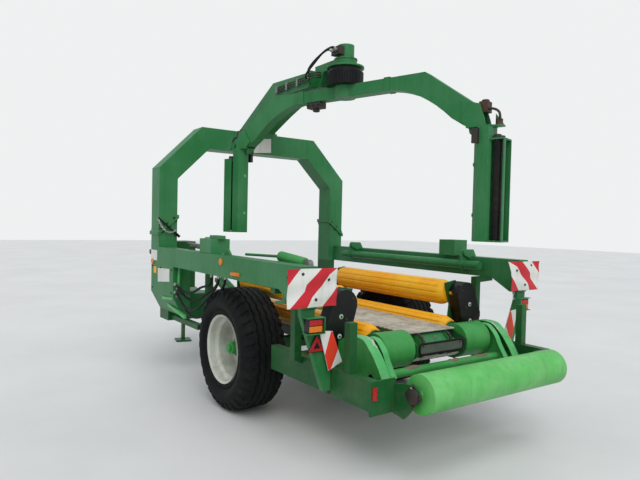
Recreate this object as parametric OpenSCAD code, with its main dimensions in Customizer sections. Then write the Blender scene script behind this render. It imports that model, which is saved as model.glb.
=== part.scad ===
/* [Wheels] */
// Outer diameter of each tyre
tyre_d = 1073; // [1000:1:1130]
// Section width of each tyre
tyre_w = 410; // [380:1:420]
// Distance between the two tyre centres
wheel_track = 1816; // [1800:1:1840]
// Diameter of the rim's outer flange
rim_d = 600; // [560:1:640]
// Width of the rim between its flanges
rim_w = 350; // [320:1:360]
// Diameter of each green hub
hub_d = 150; // [120:1:180]
// Diameter of the stub axle
stub_d = 70; // [60:1:80]
// Size of the square axle beam
axle_box = 100; // [80:1:120]

/* [Upper frame] */
// Distance between the outer faces of the two side beams
frame_w = 2410; // [2380:1:2500]
// Height of the underside of the side beams
beam_z = 1194; // [1180:1:1220]
// Height of a side beam's section
beam_h = 178; // [150:1:190]
// Width of a side beam's section
beam_w = 120; // [100:1:140]
// How far the side beams reach behind the axle
beam_rear = 1450; // [1430:1:1500]
// Rear face of the arch, ahead of the axle
arch_y = 1321; // [1315:1:1400]
// Depth of the arch's box section
arch_depth = 235; // [200:1:260]
// Width of each arch leg
leg_w = 199; // [170:1:210]
// Height of the top of the arch
arch_top = 2684; // [2680:1:2700]
// Height of the outer shoulder, where a leg turns inward
shoulder_z = 2212; // [2150:1:2260]
// Half the width of the arch's flat top
crown_half = 737; // [700:1:780]
// Depth of the arch's top section
crown_h = 234; // [200:1:240]

/* [Neck and wrapping arm] */
// Distance of the slewing axis behind the axle
slew_back = 270; // [255:1:280]
// Width of the neck
neck_w = 340; // [300:1:400]
// Height of the top of the motor cap
motor_top = 3318; // [3290:1:3360]
// Diameter of the motor cap
motor_d = 156; // [130:1:180]
// Outer diameter of the slewing ring
ring_d = 340; // [320:1:370]
// Height of the wrapping arm's top face at the hub
arm_top = 2940; // [2930:1:2945]
// Width of the wrapping arm
arm_w = 110; // [90:1:130]
// Angle of the wrapping arm at rest, from the right toward the rear
arm_angle = 73.4; // [60:0.1:85]
// Distance of the arm's bend from the axis
arm_bend = 860; // [820:1:900]
// Distance of the arm's end from the axis
arm_reach = 1340; // [1320:1:1350]
// Distance of the film column's inner face from the axis
column_in = 1300; // [1290:1:1310]
// Height of the film column's foot
column_z = 1542; // [1540:1:1560]
// Height of the film column's top
column_top = 2440; // [2400:1:2450]

/* [Wrapping table] */
// Height of the top of the conveyor
belt_z = 852; // [840:1:860]
// Width of the conveyor's slats
belt_w = 520; // [480:1:530]
// Distance of the end drums' axis behind the axle
drum_back = 1430; // [1425:1:1440]
// Diameter of the end drums
drum_d = 270; // [250:1:276]
// Length of each end drum
drum_l = 282; // [240:1:290]
// Diameter of the upper cradle rollers
upper_d = 222; // [200:1:230]
// Distance of an upper cradle roller's axis from the centreline
upper_x = 588; // [575:1:590]
// Height of an upper cradle roller's axis
upper_z = 1070; // [1060:1:1078]
// Diameter of the lower cradle rollers
lower_d = 190; // [170:1:196]
// Distance of a lower cradle roller's axis from the centreline
lower_x = 420; // [415:1:430]
// Height of a lower cradle roller's axis
lower_z = 800; // [796:1:805]
// Diameter of the rear roller
rear_d = 254; // [230:1:270]
// Length of the rear roller
rear_l = 1400; // [1300:1:1420]
// Distance of the rear roller's axis behind the axle
rear_back = 2030; // [2020:1:2060]
// Height of the rear roller's axis
rear_z = 609; // [600:1:620]

/* [Lower frame] */
// Half the distance between the outer faces of the rear sills
sill_x = 950; // [940:1:955]
// Width of each rear sill
sill_w = 70; // [60:1:80]
// Height of the top of the rear sills
sill_top = 680; // [670:1:690]
// Height of a rear sill's section
sill_h = 190; // [170:1:200]
// How far the rear sills reach behind the axle
sill_rear = 1840; // [1830:1:1850]
// Height of the longitudinal frame rails' section
rail_h = 110; // [100:1:120]
// Distance of a frame rail's inner face from the centreline
rail_in = 290; // [285:1:300]
// Width of a frame rail
rail_w = 80; // [60:1:90]

/* [Drawbar and loading arm] */
// Distance of the drawbar's pivot left of the centreline
pivot_left = 450; // [430:1:500]
// Length of the drawbar from its pivot to the towing eye
drawbar_l = 2050; // [1900:1:2200]
// Angle of the drawbar at rest, toward the centreline
drawbar_angle = 12.7; // [11:0.1:13]
// Height of the drawbar's centre
drawbar_z = 620; // [600:1:640]
// Bore of the towing eye
eye_bore = 40; // [30:1:50]
// Length of the loading arms
loader_l = 1080; // [1000:1:1100]
// Angle of the loading arms above level, as parked
loader_up = 20; // [15:1:22]
// Diameter of the loading arms' clamp tubes
clamp_d = 110; // [90:1:120]

/* [Hidden] */
$fn = 64;

// Clearances
run_gap = 0.05;      // radial gap of a shaft in its bore
seat_gap = 0.3;      // gap between round parts that seat on each other
side_gap = 6;        // gap beside a part that turns or slides
eps = 1;             // overshoot of a cutting shape

// Colours
machine_green = [0.05, 0.36, 0.16];
bright_green = [0.12, 0.52, 0.2];
roller_yellow = [0.95, 0.63, 0.03];
rubber_black = [0.03, 0.03, 0.03];
steel_grey = [0.5, 0.5, 0.5];
rim_white = [0.82, 0.82, 0.8];
sign_white = [0.85, 0.87, 0.84];
lamp_red = [0.75, 0.05, 0.05];

// Levels shared by several pieces
axle_z = tyre_d / 2;
beam_top = beam_z + beam_h;
beam_x = frame_w / 2;
beam_in = beam_x - beam_w;
beam_front = arch_y + arch_depth;
leg_in = beam_x - leg_w;
crown_bottom = arch_top - crown_h;
rail_z = axle_z + axle_box / 2;
rail_top = rail_z + rail_h;
sill_z = sill_top - sill_h;
sill_in = sill_x - sill_w;

// A point list along an arc, from one angle to another
function arc(centre, r, from, to, steps = 8) =
  [for (i = [0:steps]) let (a = from + (to - from) * i / steps)
    [centre[0] + r * cos(a), centre[1] + r * sin(a)]];

// The origin lies on the ground, half way along the whole machine
eye_d = 110;         // outer diameter of the towing eye
pivot_y = beam_front + 90;
mid_y = (pivot_y + drawbar_l * cos(drawbar_angle) + eye_d / 2 - rear_back - rear_d / 2) / 2;
module placed() {
  translate([0, -mid_y, 0]) children();
}

// Both sides of a symmetric piece
module both_sides() {
  children();
  mirror([1, 0, 0]) children();
}

// Extrude an outline of (y, z) points between two x values
module across(x0, x1) {
  translate([x0, 0, 0]) rotate([90, 0, 90]) linear_extrude(x1 - x0) children();
}

// Extrude an outline of (x, z) points between two y values
module along(y0, y1) {
  translate([0, y1, 0]) rotate([90, 0, 0]) linear_extrude(y1 - y0) children();
}

// A box from its lowest to its highest corner
module box(low, high) {
  translate(low) cube(high - low);
}

// A round bar between two x values
module bar_x(r, x0, x1, y, z) {
  translate([x0, y, z]) rotate([0, 90, 0]) cylinder(r = r, h = x1 - x0);
}

// A round bar between two y values
module bar_y(r, y0, y1, x, z) {
  translate([x, y1, z]) rotate([90, 0, 0]) cylinder(r = r, h = y1 - y0);
}

// Side beams
beam_tail = 110;     // how far the deep rear end hangs below a beam
tail_l = 300;        // length of the deep rear end
module side_beams() placed() color(machine_green) both_sides()
  across(beam_in, beam_x) polygon([
    [beam_front, beam_z], [beam_front, beam_top], [-beam_rear, beam_top],
    [-beam_rear, beam_z - beam_tail + 25], [-beam_rear + 18, beam_z - beam_tail],
    [-beam_rear + tail_l / 3, beam_z - beam_tail], [-beam_rear + tail_l, beam_z]]);

// Arch, cut into two legs and a crown at sloping flanges
flange_out_z = 1527; // height of the flange at the leg's outer face
flange_in_z = 1685;  // height of the flange at the leg's inner face
shoulder_in_z = 2100;
crown_in = 652;      // half the width of the arch's inner top
lip = 15;            // how far a flange stands proud of the leg
flange_t = 18;
module leg_flange(rise) {
  slope = (flange_in_z - flange_out_z) / (beam_x - leg_in);
  along(arch_y - lip, beam_front + lip) polygon([
    [beam_x + lip, flange_out_z - lip * slope + min(rise, 0)],
    [beam_x + lip, flange_out_z - lip * slope + max(rise, 0)],
    [leg_in - lip, flange_in_z + lip * slope + max(rise, 0)],
    [leg_in - lip, flange_in_z + lip * slope + min(rise, 0)]]);
}
module arch_legs() placed() color(machine_green) both_sides() {
  along(arch_y, beam_front) polygon([
    [leg_in, beam_z], [beam_in, beam_z], [beam_in, beam_top], [beam_x, beam_top],
    [beam_x, flange_out_z], [leg_in, flange_in_z]]);
  leg_flange(-flange_t);
}
module arch_crown() placed() color(machine_green) {
  along(arch_y, beam_front) polygon([
    [beam_x, flange_out_z], [beam_x, shoulder_z], [crown_half, arch_top],
    [-crown_half, arch_top], [-beam_x, shoulder_z], [-beam_x, flange_out_z],
    [-leg_in, flange_in_z], [-leg_in, shoulder_in_z], [-crown_in, crown_bottom],
    [crown_in, crown_bottom], [leg_in, shoulder_in_z], [leg_in, flange_in_z]]);
  both_sides() leg_flange(flange_t);
}

// Neck, from the arch back to the slewing axis
base_t = 20;         // thickness of the neck's base plate
neck_strap_y = 80;
neck_knee_y = 780;
neck_knee_z = 3145;
neck_under = arm_top + 34;
plate_z = 3105;      // underside of the round top plate
plate_t = 15;
head_z = 3180;       // top of the narrow rear part
head_w = 210;
module neck() placed() color(machine_green) {
  box([-neck_w / 2 - 40, arch_y, arch_top], [neck_w / 2 + 40, beam_front, arch_top + base_t]);
  across(-neck_w / 2, neck_w / 2) polygon([
    [beam_front - 20, arch_top + base_t], [beam_front - 20, arch_top + 60],
    [neck_knee_y, neck_knee_z], [neck_strap_y, neck_knee_z - 25],
    [neck_strap_y, neck_under], [560, neck_under],
    [720, neck_under - 40], [960, 2850], [arch_y, arch_top + base_t]]);
  across(-head_w / 2, head_w / 2) polygon([
    [neck_strap_y, neck_under], [neck_strap_y, head_z], [-slew_back, head_z],
    [-slew_back, plate_z], [-60, plate_z], [-10, neck_under]]);
  translate([0, -slew_back, plate_z]) cylinder(d = ring_d + 10, h = plate_t);
  translate([0, -slew_back, plate_z]) cylinder(d = head_w, h = head_z - plate_z);
  box([-neck_w / 2 - 15, neck_strap_y - 12, neck_under], [neck_w / 2 + 15, neck_strap_y, neck_knee_z - 10]);
}
module slew_motor() placed() color(machine_green) translate([0, -slew_back, 0]) {
  translate([0, 0, head_z]) cylinder(d = head_w + 10, h = 12);
  translate([0, 0, head_z + 12]) cylinder(d = motor_d, h = motor_top - head_z - 12);
}

// Lower frame: rails over the axle, rear sills, cross-members and uprights
rail_front = 1306;   // front end of the rails, at the front frame
rail_rear = -1268;   // rear end of the rails, ahead of the end drums
cross_z = 500;       // underside of the cross-members
cross_h = 100;
cross_ys = [-1080, -700, 640];  // rear face of each cross-member
cross_d = 70;
upright_x = 960;     // inner face of an upright
upright_w = 60;
upright_y = -1080;
post_y = -1630;      // rear face of a corner post
post_w = 60;
post_top = 1010;
plate_out = upper_x + 95;      // outer edge of a roller end plate
end_t = 20;
roller_rear = -1085; // rear end of the upper rollers
roller_front = 500;  // front end of the upper rollers
module rear_plate(y) {
  difference() {
    along(y, y + end_t) polygon([
      [rail_in + rail_w, rail_z], [plate_out, rail_z + 60], [plate_out, upper_z + 40],
      [upper_x + 60, upper_z + 110], [upper_x - 70, upper_z + 90], [upper_x - 8, upper_z - 100],
      [lower_x + lower_d / 2 + 30, rail_top], [rail_in + rail_w, rail_top]]);
    bar_y(shaft_r + run_gap, y - eps, y + end_t + eps, upper_x, upper_z);
  }
}
module front_plate(y) {
  difference() {
    along(y, y + end_t) polygon([
      [rail_in + rail_w, rail_z], [plate_out, rail_z + 60], [plate_out, upper_z + 40],
      [upper_x + 60, upper_z + 110], [upper_x - 70, upper_z + 90], [lower_x + 80, lower_z + 140],
      [lower_x + 20, lower_z + 80], [lower_x - 50, lower_z + 60], [lower_x - 75, lower_z],
      [lower_x - 75, rail_top], [rail_in + rail_w, rail_top]]);
    bar_y(shaft_r + run_gap, y - eps, y + end_t + eps, upper_x, upper_z);
    bar_y(shaft_r + run_gap, y - eps, y + end_t + eps, lower_x, lower_z);
  }
}
module lower_carrier(y) {
  difference() {
    along(y, y + end_t) polygon(concat([[rail_in, rail_z], [rail_in + rail_w, rail_z], [lower_x + 62, lower_z - 40]],
      arc([lower_x, lower_z], 60, -20, 150), [[rail_in, rail_top + 20]]));
    bar_y(shaft_r + run_gap, y - eps, y + end_t + eps, lower_x, lower_z);
  }
}
shaft_r = 25;
module lower_frame() placed() color(machine_green) {
  both_sides() {
    box([rail_in, rail_rear, rail_z], [rail_in + rail_w, rail_front, rail_top]);
    box([sill_in, -sill_rear, sill_z], [sill_x, cross_ys[1] + cross_d, sill_top]);
  }
  for (y = cross_ys)
    box([y > 0 ? -rail_in - rail_w : -sill_in - 1, y, cross_z], [y > 0 ? rail_in + rail_w : sill_in + 1, y + cross_d, cross_z + cross_h]);
  both_sides() box([rail_in, cross_ys[2], cross_z], [rail_in + rail_w, cross_ys[2] + cross_d, rail_z + 1]);
}
module frame_posts() placed() color(machine_green) both_sides() {
  along(upright_y, upright_y + upright_w) polygon([
    [sill_x, sill_top - 50], [upright_x + upright_w, sill_top - 20], [upright_x + upright_w, beam_z - 50],
    [beam_x - 10, beam_z - 40], [beam_x - 10, beam_z], [upright_x, beam_z], [upright_x, sill_top], [sill_x, sill_top]]);
  box([sill_in + 5, post_y, sill_top], [sill_in + 5 + post_w, post_y + post_w, post_top]);
}
module roller_plates() placed() color(machine_green) both_sides() {
  rear_plate(roller_rear - end_t - side_gap);
  front_plate(roller_front + side_gap);
  lower_carrier(rail_rear - end_t);
}
hub_face = wheel_track / 2 - 40;
module axle_beam() placed() color(machine_green) {
  box([-560, -axle_box / 2, axle_z - axle_box / 2], [560, axle_box / 2, axle_z + axle_box / 2]);
  both_sides() bar_x(stub_d / 2, 559, hub_face + 60, 0, axle_z);
}

// Front cross frame with corner posts, the drawbar's lugs and the loader's lugs
front_z = 586;
front_h = 274;
pin_r = 25;
lug_t = 25;
lug_gap = 190;       // space between the two drawbar lugs
loader_y = beam_front + 170;
loader_z = 820;
loader_xs = [150, 820];       // inner face of each loading arm
loader_end = 1065;            // inner face of the outer lug
loader_t = 60;
lift_base = [beam_front + 80, 560];
lift_x = 600;
base_pin_r = 15;              // pins at the cylinders' bases
eye_half = 36;                // half the width of a cylinder's base eye
swing_z = drawbar_z + 25;
module front_frame() placed() color(machine_green) {
  box([-leg_in - 90, rail_front, front_z], [leg_in + 90, beam_front, front_z + front_h]);
  both_sides() box([leg_in, arch_y, front_z + front_h], [leg_in + 94, beam_front, beam_z]);
}
back_t = 20;         // thickness of the drawbar bracket's back plate
module front_brackets() placed() color(machine_green) difference() {
  union() {
    box([-pivot_left - 110, beam_front, drawbar_z - lug_gap / 2 - lug_t],
      [-pivot_left + 110, beam_front + back_t, drawbar_z + lug_gap / 2 + lug_t]);
    for (z = [drawbar_z - lug_gap / 2 - lug_t, drawbar_z + lug_gap / 2])
      hull_lug(-pivot_left, pivot_y, z, 75);
    for (x = [loader_xs[0] - lug_t - side_gap, loader_end])
      across(x, x + lug_t) polygon(concat([[beam_front, loader_z - 80], [beam_front, loader_z + 30]],
        arc([loader_y, loader_z], 50, 90, -90)));
    for (z = [swing_z - eye_half - side_gap - lug_t, swing_z + eye_half + side_gap])
      translate([0, 0, z]) linear_extrude(lug_t) polygon(concat([[swing_base[0] + 35, beam_front]],
        arc(swing_base, 35, 0, 180), [[swing_base[0] - 35, beam_front]]));
    translate([swing_base[0], swing_base[1], swing_z - eye_half - side_gap - lug_t])
      cylinder(r = base_pin_r, h = 2 * (eye_half + side_gap + lug_t));
    for (x = [lift_x - eye_half - side_gap - lug_t, lift_x + eye_half + side_gap])
      across(x, x + lug_t) polygon(concat([[beam_front, front_z + 5], [beam_front, front_z + 90]],
        arc(lift_base, 40, 60, -120)));
    bar_x(base_pin_r, lift_x - eye_half - side_gap - lug_t, lift_x + eye_half + side_gap + lug_t, lift_base[0], lift_base[1]);
  }
  translate([-pivot_left, pivot_y, drawbar_z - 200]) cylinder(r = pin_r + run_gap, h = 400);
  bar_x(pin_r + run_gap, loader_xs[0] - 60, loader_end + 60, loader_y, loader_z);
}
module hull_lug(x, y, z, r) {
  translate([0, 0, z]) linear_extrude(lug_t)
    polygon(concat([[x + r + 35, beam_front], [x + r, y]], arc([x, y], r, 0, 180), [[x - r - 35, beam_front]]));
}

// Rear corner plates, bearing plates of the rear roller and the rear cross-member
bearing_x = rear_l / 2 + side_gap + 36;
bearing_t = 16;
module rear_corners() placed() color(machine_green) {
  both_sides() {
    box([bearing_x, -sill_rear - 12, sill_z - 30], [sill_x, -sill_rear, sill_top]);
    difference() {
      across(bearing_x, bearing_x + bearing_t) polygon(concat(
        [[-1640, 500], [-1640, 600], [-sill_rear - 11, 646], [-rear_back + 60, rear_z + 60]],
        arc([-rear_back, rear_z], 62, 75, 250),
        [[-1950, 441], [-1850, 455]]));
      bar_x(shaft_r + run_gap, bearing_x - eps, bearing_x + bearing_t + eps, -rear_back, rear_z);
    }
  }
  box([-bearing_x, -1740, 490], [bearing_x, -1670, 560]);
}

// Webs beside the end drums, with a ribbed curved edge
web_x = 612;
web_t = 10;
drum_z = belt_z - 112;
tube_r = 32;
tube_y = -1600;
module guide_webs() placed() color(bright_green) {
  both_sides() difference() {
    across(web_x, web_x + web_t) polygon([
      [cross_ys[0], 560], [cross_ys[0], 598], [-1224, 598], [-1224, 790], [-1290, 850], [-1330, 862], [-1404, 828],
      [-1560, 740], [-1690, 640], [-1737, 599], [-1737, 560]]);
    bar_x(shaft_r + run_gap, web_x - eps, web_x + web_t + eps, -drum_back, drum_z);
  }
  both_sides() for (x = [web_x + web_t, web_x + web_t + 60])
    across(x, x + 12) polygon([[-1330, 840], [-1330, 866], [-1404, 834], [-1560, 746], [-1690, 646],
      [-1737, 605], [-1737, 575], [-1680, 615], [-1550, 718], [-1400, 806]]);
  both_sides() across(web_x + web_t + 11, web_x + web_t + 61) polygon([[-1330, 845], [-1330, 853],
    [-1402, 820], [-1556, 732], [-1687, 630], [-1737, 590], [-1737, 580], [-1680, 622], [-1550, 724], [-1400, 811]]);
  bar_x(tube_r, -web_x - 1, web_x + 1, tube_y, 600);
}

// Conveyor
belt_r = 112;
belt_t = 12;
belt_front = 880;
bed_t = 12;
side_t = 8;
belt_side = belt_w / 2 + side_gap;
belt_inner = belt_r - 9 - belt_t;
flap_y = -drum_back - belt_r - side_gap;
flap_t = 20;
flap_low = 694;
flap_top = 782;
module stadium(r) {
  hull() {
    translate([-drum_back, drum_z]) circle(r);
    translate([belt_front, drum_z]) circle(r);
  }
}
module conveyor_frame() placed() color(machine_green) difference() {
  union() {
    both_sides() across(belt_side, belt_side + side_t) polygon([
      [flap_y - flap_t, flap_low], [flap_y - flap_t, flap_top], [-drum_back, belt_z - 24],
      [belt_front, belt_z - 24], [belt_front + 90, drum_z], [belt_front, cross_z + cross_h], [-1450, cross_z + cross_h]]);
    box([-belt_side - 1, -drum_back + 130, drum_z + belt_inner - bed_t], [belt_side + 1, belt_front - 100, drum_z + belt_inner]);
    bar_x(shaft_r, -belt_side - 1, belt_side + 1, belt_front, drum_z);
    for (x = [-150, 150]) bar_x(belt_inner - 0.3, x - 10, x + 10, belt_front, drum_z);
    both_sides() for (y = [-1200, 400]) box([belt_side + side_t - 1, y, rail_top - 60], [rail_in, y + 60, rail_top - 10]);
  }
  bar_x(shaft_r + side_gap, -belt_side - 20, belt_side + 20, -drum_back, drum_z);
}
slat_pitch = 52;
slat_w = 44;
slat_h = 9;
run_l = drum_back + belt_front;
module conveyor_belt() placed() color(steel_grey) across(-belt_w / 2, belt_w / 2) difference() {
  union() {
    stadium(belt_r - slat_h);
    for (i = [0:floor(run_l / slat_pitch)])
      translate([-drum_back + i * slat_pitch - slat_w / 2, drum_z - belt_r]) square([slat_w, 2 * belt_r]);
    for (i = [1:6]) {
      translate([-drum_back, drum_z]) rotate(90 + i * 180 / 7) translate([0, -slat_w / 2]) square([belt_r, slat_w]);
      translate([belt_front, drum_z]) rotate(-90 + i * 180 / 7) translate([0, -slat_w / 2]) square([belt_r, slat_w]);
    }
  }
  stadium(belt_inner);
}
module end_flap() placed() color(rubber_black) {
  box([-belt_side, flap_y - flap_t, flap_low], [belt_side, flap_y, flap_top]);
}

// Marker brackets, boards and lamps at the rear
mark_y = -1430;
board = 283;
board_x = 1150;
board_z = 1236;
board_t = 4;
bracket_t = 40;
lamp_x = 1120;
lamp_z = 985;
module marker_brackets() placed() color(machine_green) both_sides() {
  along(mark_y, mark_y + bracket_t) polygon([
    [sill_x, 520], [1010, 520], [1200, 1050], [1200, beam_z - beam_tail], [1090, beam_z - beam_tail], [1090, 1030],
    [sill_x, sill_top]]);
  box([1100, -beam_rear - 20, beam_z + 20], [1190, -beam_rear, beam_top - 30]);
  along(mark_y - 70, mark_y) polygon([[lamp_x - 70, lamp_z - 55], [lamp_x + 70, lamp_z - 55], [lamp_x + 70, lamp_z - 49],
    [lamp_x - 64, lamp_z - 49], [lamp_x - 64, lamp_z + 49], [lamp_x + 70, lamp_z + 49], [lamp_x + 70, lamp_z + 55], [lamp_x - 70, lamp_z + 55]]);
}
module marker_boards() placed() color(sign_white) both_sides() {
  box([board_x - board / 2, -beam_rear - 20 - board_t, board_z - board / 2], [board_x + board / 2, -beam_rear - 20, board_z + board / 2]);
  along(mark_y - board_t, mark_y) polygon([[1080, 880], [1010, 880], [950, 720], [1010, 650]]);
}
module rear_lamps() placed() color(lamp_red) both_sides() {
  box([lamp_x - 55, mark_y - 60, lamp_z - 45], [lamp_x + 55, mark_y, lamp_z + 45]);
  along(mark_y - 14, mark_y - board_t) polygon([[1150, 800], [1010, 800], [1080, 921]]);
  box([900, -sill_rear - 20, 560], [935, -sill_rear - 12, 640]);
}

// Black drive covers at the rollers' rear ends
cover_back = roller_rear - end_t - side_gap;
cover_d = 110;
module chain_covers() placed() color(rubber_black) both_sides() difference() {
  along(cover_back - cover_d, cover_back) polygon(concat(
    arc([670, 1060], 112, 35, 190),
    [[600, 900], [630, 720], [640, 610], [700, 600]],
    arc([770, 880], 85, -60, 40, 4)));
  bar_y(shaft_r + side_gap, cover_back - 60, cover_back + eps, upper_x, upper_z);
}

// Cover on the left front, with the folded lower edge
cover_rear = 885;
module front_cover() placed() color(machine_green) {
  along(cover_rear, beam_front - 16) polygon([
    [-beam_x, beam_z], [-beam_x, 890], [-leg_in - 96, 694], [-leg_in - 96, beam_z]]);
  along(cover_rear, rail_front - 6) polygon([
    [-leg_in - 95, beam_z], [-leg_in - 95, 694], [-leg_in - 20, 694], [-leg_in - 20, beam_z]]);
}

// Film cutting units on the side beams
module cut_hold_units() placed() color(machine_green) {
  box([beam_x - 190, -760, beam_top], [beam_x - 10, -560, 1525]);
  box([-beam_x + 10, 20, beam_top], [-beam_x + 190, 260, 1500]);
}
module oil_tank() placed() color(machine_green) box([-leg_in - 90, beam_front, 900], [-leg_in + 310, beam_front + 300, 1420]);

// Drawbar, swinging on a vertical pin
bar_w = 160;
bar_h = 180;
module on_drawbar() {
  translate([-pivot_left, pivot_y, 0]) rotate([0, 0, -drawbar_angle]) children();
}
jack_y = 1250;
swing_eye_y = 640;
swing_eye_x = bar_w / 2 + 45;
module drawbar() placed() color(machine_green) on_drawbar() {
  box([-bar_w / 2, 60, drawbar_z - bar_h / 2], [bar_w / 2, drawbar_l - 260, drawbar_z + bar_h / 2]);
  translate([0, 0, drawbar_z - lug_gap / 2 + side_gap]) cylinder(d = 130, h = lug_gap - 2 * side_gap);
  for (z = [swing_z - 44, swing_z + 24])
    box([bar_w / 2 - 1, swing_eye_y - 35, z], [swing_eye_x + 35, swing_eye_y + 35, z + 20]);
  translate([0, 0, drawbar_z - lug_gap / 2 - lug_t - 10]) cylinder(r = pin_r, h = lug_gap + 2 * lug_t + 20);
}
module tow_eye() placed() color(steel_grey) on_drawbar() difference() {
  union() {
    box([-45, drawbar_l - 260, drawbar_z - 45], [45, drawbar_l - 40, drawbar_z + 45]);
    translate([0, drawbar_l, drawbar_z - 30]) cylinder(d = eye_d, h = 60);
  }
  translate([0, drawbar_l, drawbar_z - 46]) cylinder(d = eye_bore, h = 92);
}
jack_x = -bar_w / 2 - 50;
module parking_jack() placed() color(machine_green) on_drawbar() {
  box([-bar_w / 2 - 20, jack_y - 40, drawbar_z - 60], [-bar_w / 2, jack_y + 40, drawbar_z + 60]);
  translate([jack_x, jack_y, 300]) cylinder(d = 70, h = 620);
  translate([jack_x, jack_y, 20]) cylinder(d = 54, h = 281);
  box([jack_x - 100, jack_y - 100, 0], [jack_x + 100, jack_y + 100, 20]);
}

// Hydraulic cylinder between two points of a level plane
barrel_r = 35;
rod_r = 18;
module swing_barrel() placed() color(machine_green) translate([swing_base[0], swing_base[1], swing_z])
  rotate([0, 0, swing_dir - 90]) {
    difference() {
      translate([0, 0, -eye_half]) cylinder(r = 30, h = 2 * eye_half);
      translate([0, 0, -eye_half - eps]) cylinder(r = base_pin_r + run_gap, h = 2 * eye_half + 2 * eps);
    }
    rotate([-90, 0, 0]) translate([0, 0, 25]) difference() {
      cylinder(r = barrel_r, h = swing_len - 230);
      translate([0, 0, 30]) cylinder(r = rod_r + run_gap, h = swing_len);
    }
  }
swing_base = [60, beam_front + 75];
swing_pin = [-pivot_left + swing_eye_x * cos(drawbar_angle) + swing_eye_y * sin(drawbar_angle),
  pivot_y - swing_eye_x * sin(drawbar_angle) + swing_eye_y * cos(drawbar_angle)];
swing_dir = atan2(swing_pin[1] - swing_base[1], swing_pin[0] - swing_base[0]);
swing_len = norm(swing_pin - swing_base);
module swing_rod() placed() color(steel_grey) translate([swing_base[0], swing_base[1], swing_z])
  rotate([0, 0, swing_dir - 90]) {
    rotate([-90, 0, 0]) translate([0, 0, 120]) cylinder(r = rod_r, h = swing_len - 145);
    difference() {
      translate([0, swing_len, -9]) cylinder(r = 28, h = 18);
      translate([0, swing_len, -20]) cylinder(r = 13, h = 40);
    }
  }

// Loading arms at the right front, parked raised
module on_loader() {
  translate([0, loader_y, loader_z]) rotate([loader_up, 0, 0]) translate([0, -loader_y, -loader_z]) children();
}
loader_drop = 380;   // how far the forks lie below the pivot
tube_outer = 45;
fork_z = loader_z - loader_drop;
lever = [loader_y + 250, loader_z - 60];
module loader_plate(x) {
  across(x, x + loader_t) polygon(concat(
    arc([loader_y, loader_z], 62, 0, 180),
    [[loader_y - 50, fork_z - 20], [loader_y, fork_z - 50], [loader_y + loader_l, fork_z - 35],
     [loader_y + loader_l + 15, fork_z + 15], [loader_y + 180, fork_z + 50], [loader_y + 75, fork_z + 130]]));
}
module clamp_tube(x) {
  bar_y(clamp_d / 2, loader_y + 140, loader_y + loader_l - 20, x, fork_z);
}
module loading_arm() placed() color(machine_green) on_loader() {
  loader_plate(loader_xs[0]);
  bar_x(tube_outer, loader_xs[0] + 1, loader_end - side_gap, loader_y, loader_z);
  bar_x(pin_r, loader_xs[0] - lug_t - 20, loader_end + lug_t + 10, loader_y, loader_z);
  clamp_tube(loader_xs[0] + loader_t + clamp_d / 2 - 1);
  for (x = [lift_x - eye_half - side_gap - lug_t, lift_x + eye_half + side_gap])
    across(x, x + lug_t) polygon(concat([[loader_y - 10, loader_z + 40], [loader_y - 10, loader_z - 40]],
      arc(lever, 32, -90, 90)));
}
module clamp_arm() placed() color(machine_green) on_loader() difference() {
  union() {
    loader_plate(loader_xs[1]);
    bar_x(75, loader_xs[1] - 30, loader_xs[1] + loader_t + 30, loader_y, loader_z);
    clamp_tube(loader_xs[1] - clamp_d / 2 + 1);
  }
  bar_x(tube_outer + run_gap, loader_xs[1] - 31, loader_xs[1] + loader_t + 31, loader_y, loader_z);
}

// Lift cylinder of the loading arms, seen along the x axis
lever_up = [loader_y + (lever[0] - loader_y) * cos(loader_up) - (lever[1] - loader_z) * sin(loader_up),
  loader_z + (lever[0] - loader_y) * sin(loader_up) + (lever[1] - loader_z) * cos(loader_up)];
lift_dir = atan2(lever_up[1] - lift_base[1], lever_up[0] - lift_base[0]);
lift_len = norm(lever_up - lift_base);
module on_lift() {
  translate([lift_x, lift_base[0], lift_base[1]]) rotate([lift_dir, 0, 0]) children();
}
module lift_barrel() placed() color(machine_green) on_lift() {
  difference() {
    bar_x(28, -eye_half, eye_half, 0, 0);
    bar_x(base_pin_r + run_gap, -eye_half - eps, eye_half + eps, 0, 0);
  }
  difference() {
    bar_y(barrel_r, 24, lift_len - 170, 0, 0);
    bar_y(rod_r + run_gap, 50, lift_len, 0, 0);
  }
}
module lift_rod() placed() color(steel_grey) on_lift() difference() {
  union() {
    bar_y(rod_r, 165, lift_len - 24, 0, 0);
    bar_x(28, -eye_half, eye_half, lift_len, 0);
  }
  bar_x(13, -eye_half - eps, eye_half + eps, lift_len, 0);
}

// Wheels
tyre_lug = 18;       // depth of the tread
groove_ws = [-120, -60, 0, 60, 120];  // places of the tread's grooves across the tyre
module on_wheel(side) {
  translate([side * wheel_track / 2, 0, axle_z]) rotate([0, 90, 0]) children();
}
bead_r = rim_d / 2;
tyre_r = tyre_d / 2;
tread_w = tyre_w - 90;
module tyre(side) placed() color(rubber_black) on_wheel(side) rotate_extrude($fn = 96) difference() {
  polygon(concat(
    [[bead_r + seat_gap, -rim_w / 2 + 12], [bead_r + 25, -rim_w / 2 - 5]],
    arc([bead_r + 110, -tyre_w / 2 + 70], 70, 230, 165, 6),
    arc([tyre_r - 40, -tread_w / 2 - 8], 40, -95, -10, 5),
    arc([tyre_r - 40, tread_w / 2 + 8], 40, 10, 95, 5),
    arc([bead_r + 110, tyre_w / 2 - 70], 70, 15, -50, 6),
    [[bead_r + 25, rim_w / 2 + 5], [bead_r + seat_gap, rim_w / 2 - 12]]));
  for (a = groove_ws) translate([tyre_r - tyre_lug, a - 5]) square([tyre_lug + eps, 10]);
}
disc_a = -60;        // place of the disc, inward of the tyre's centre
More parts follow.
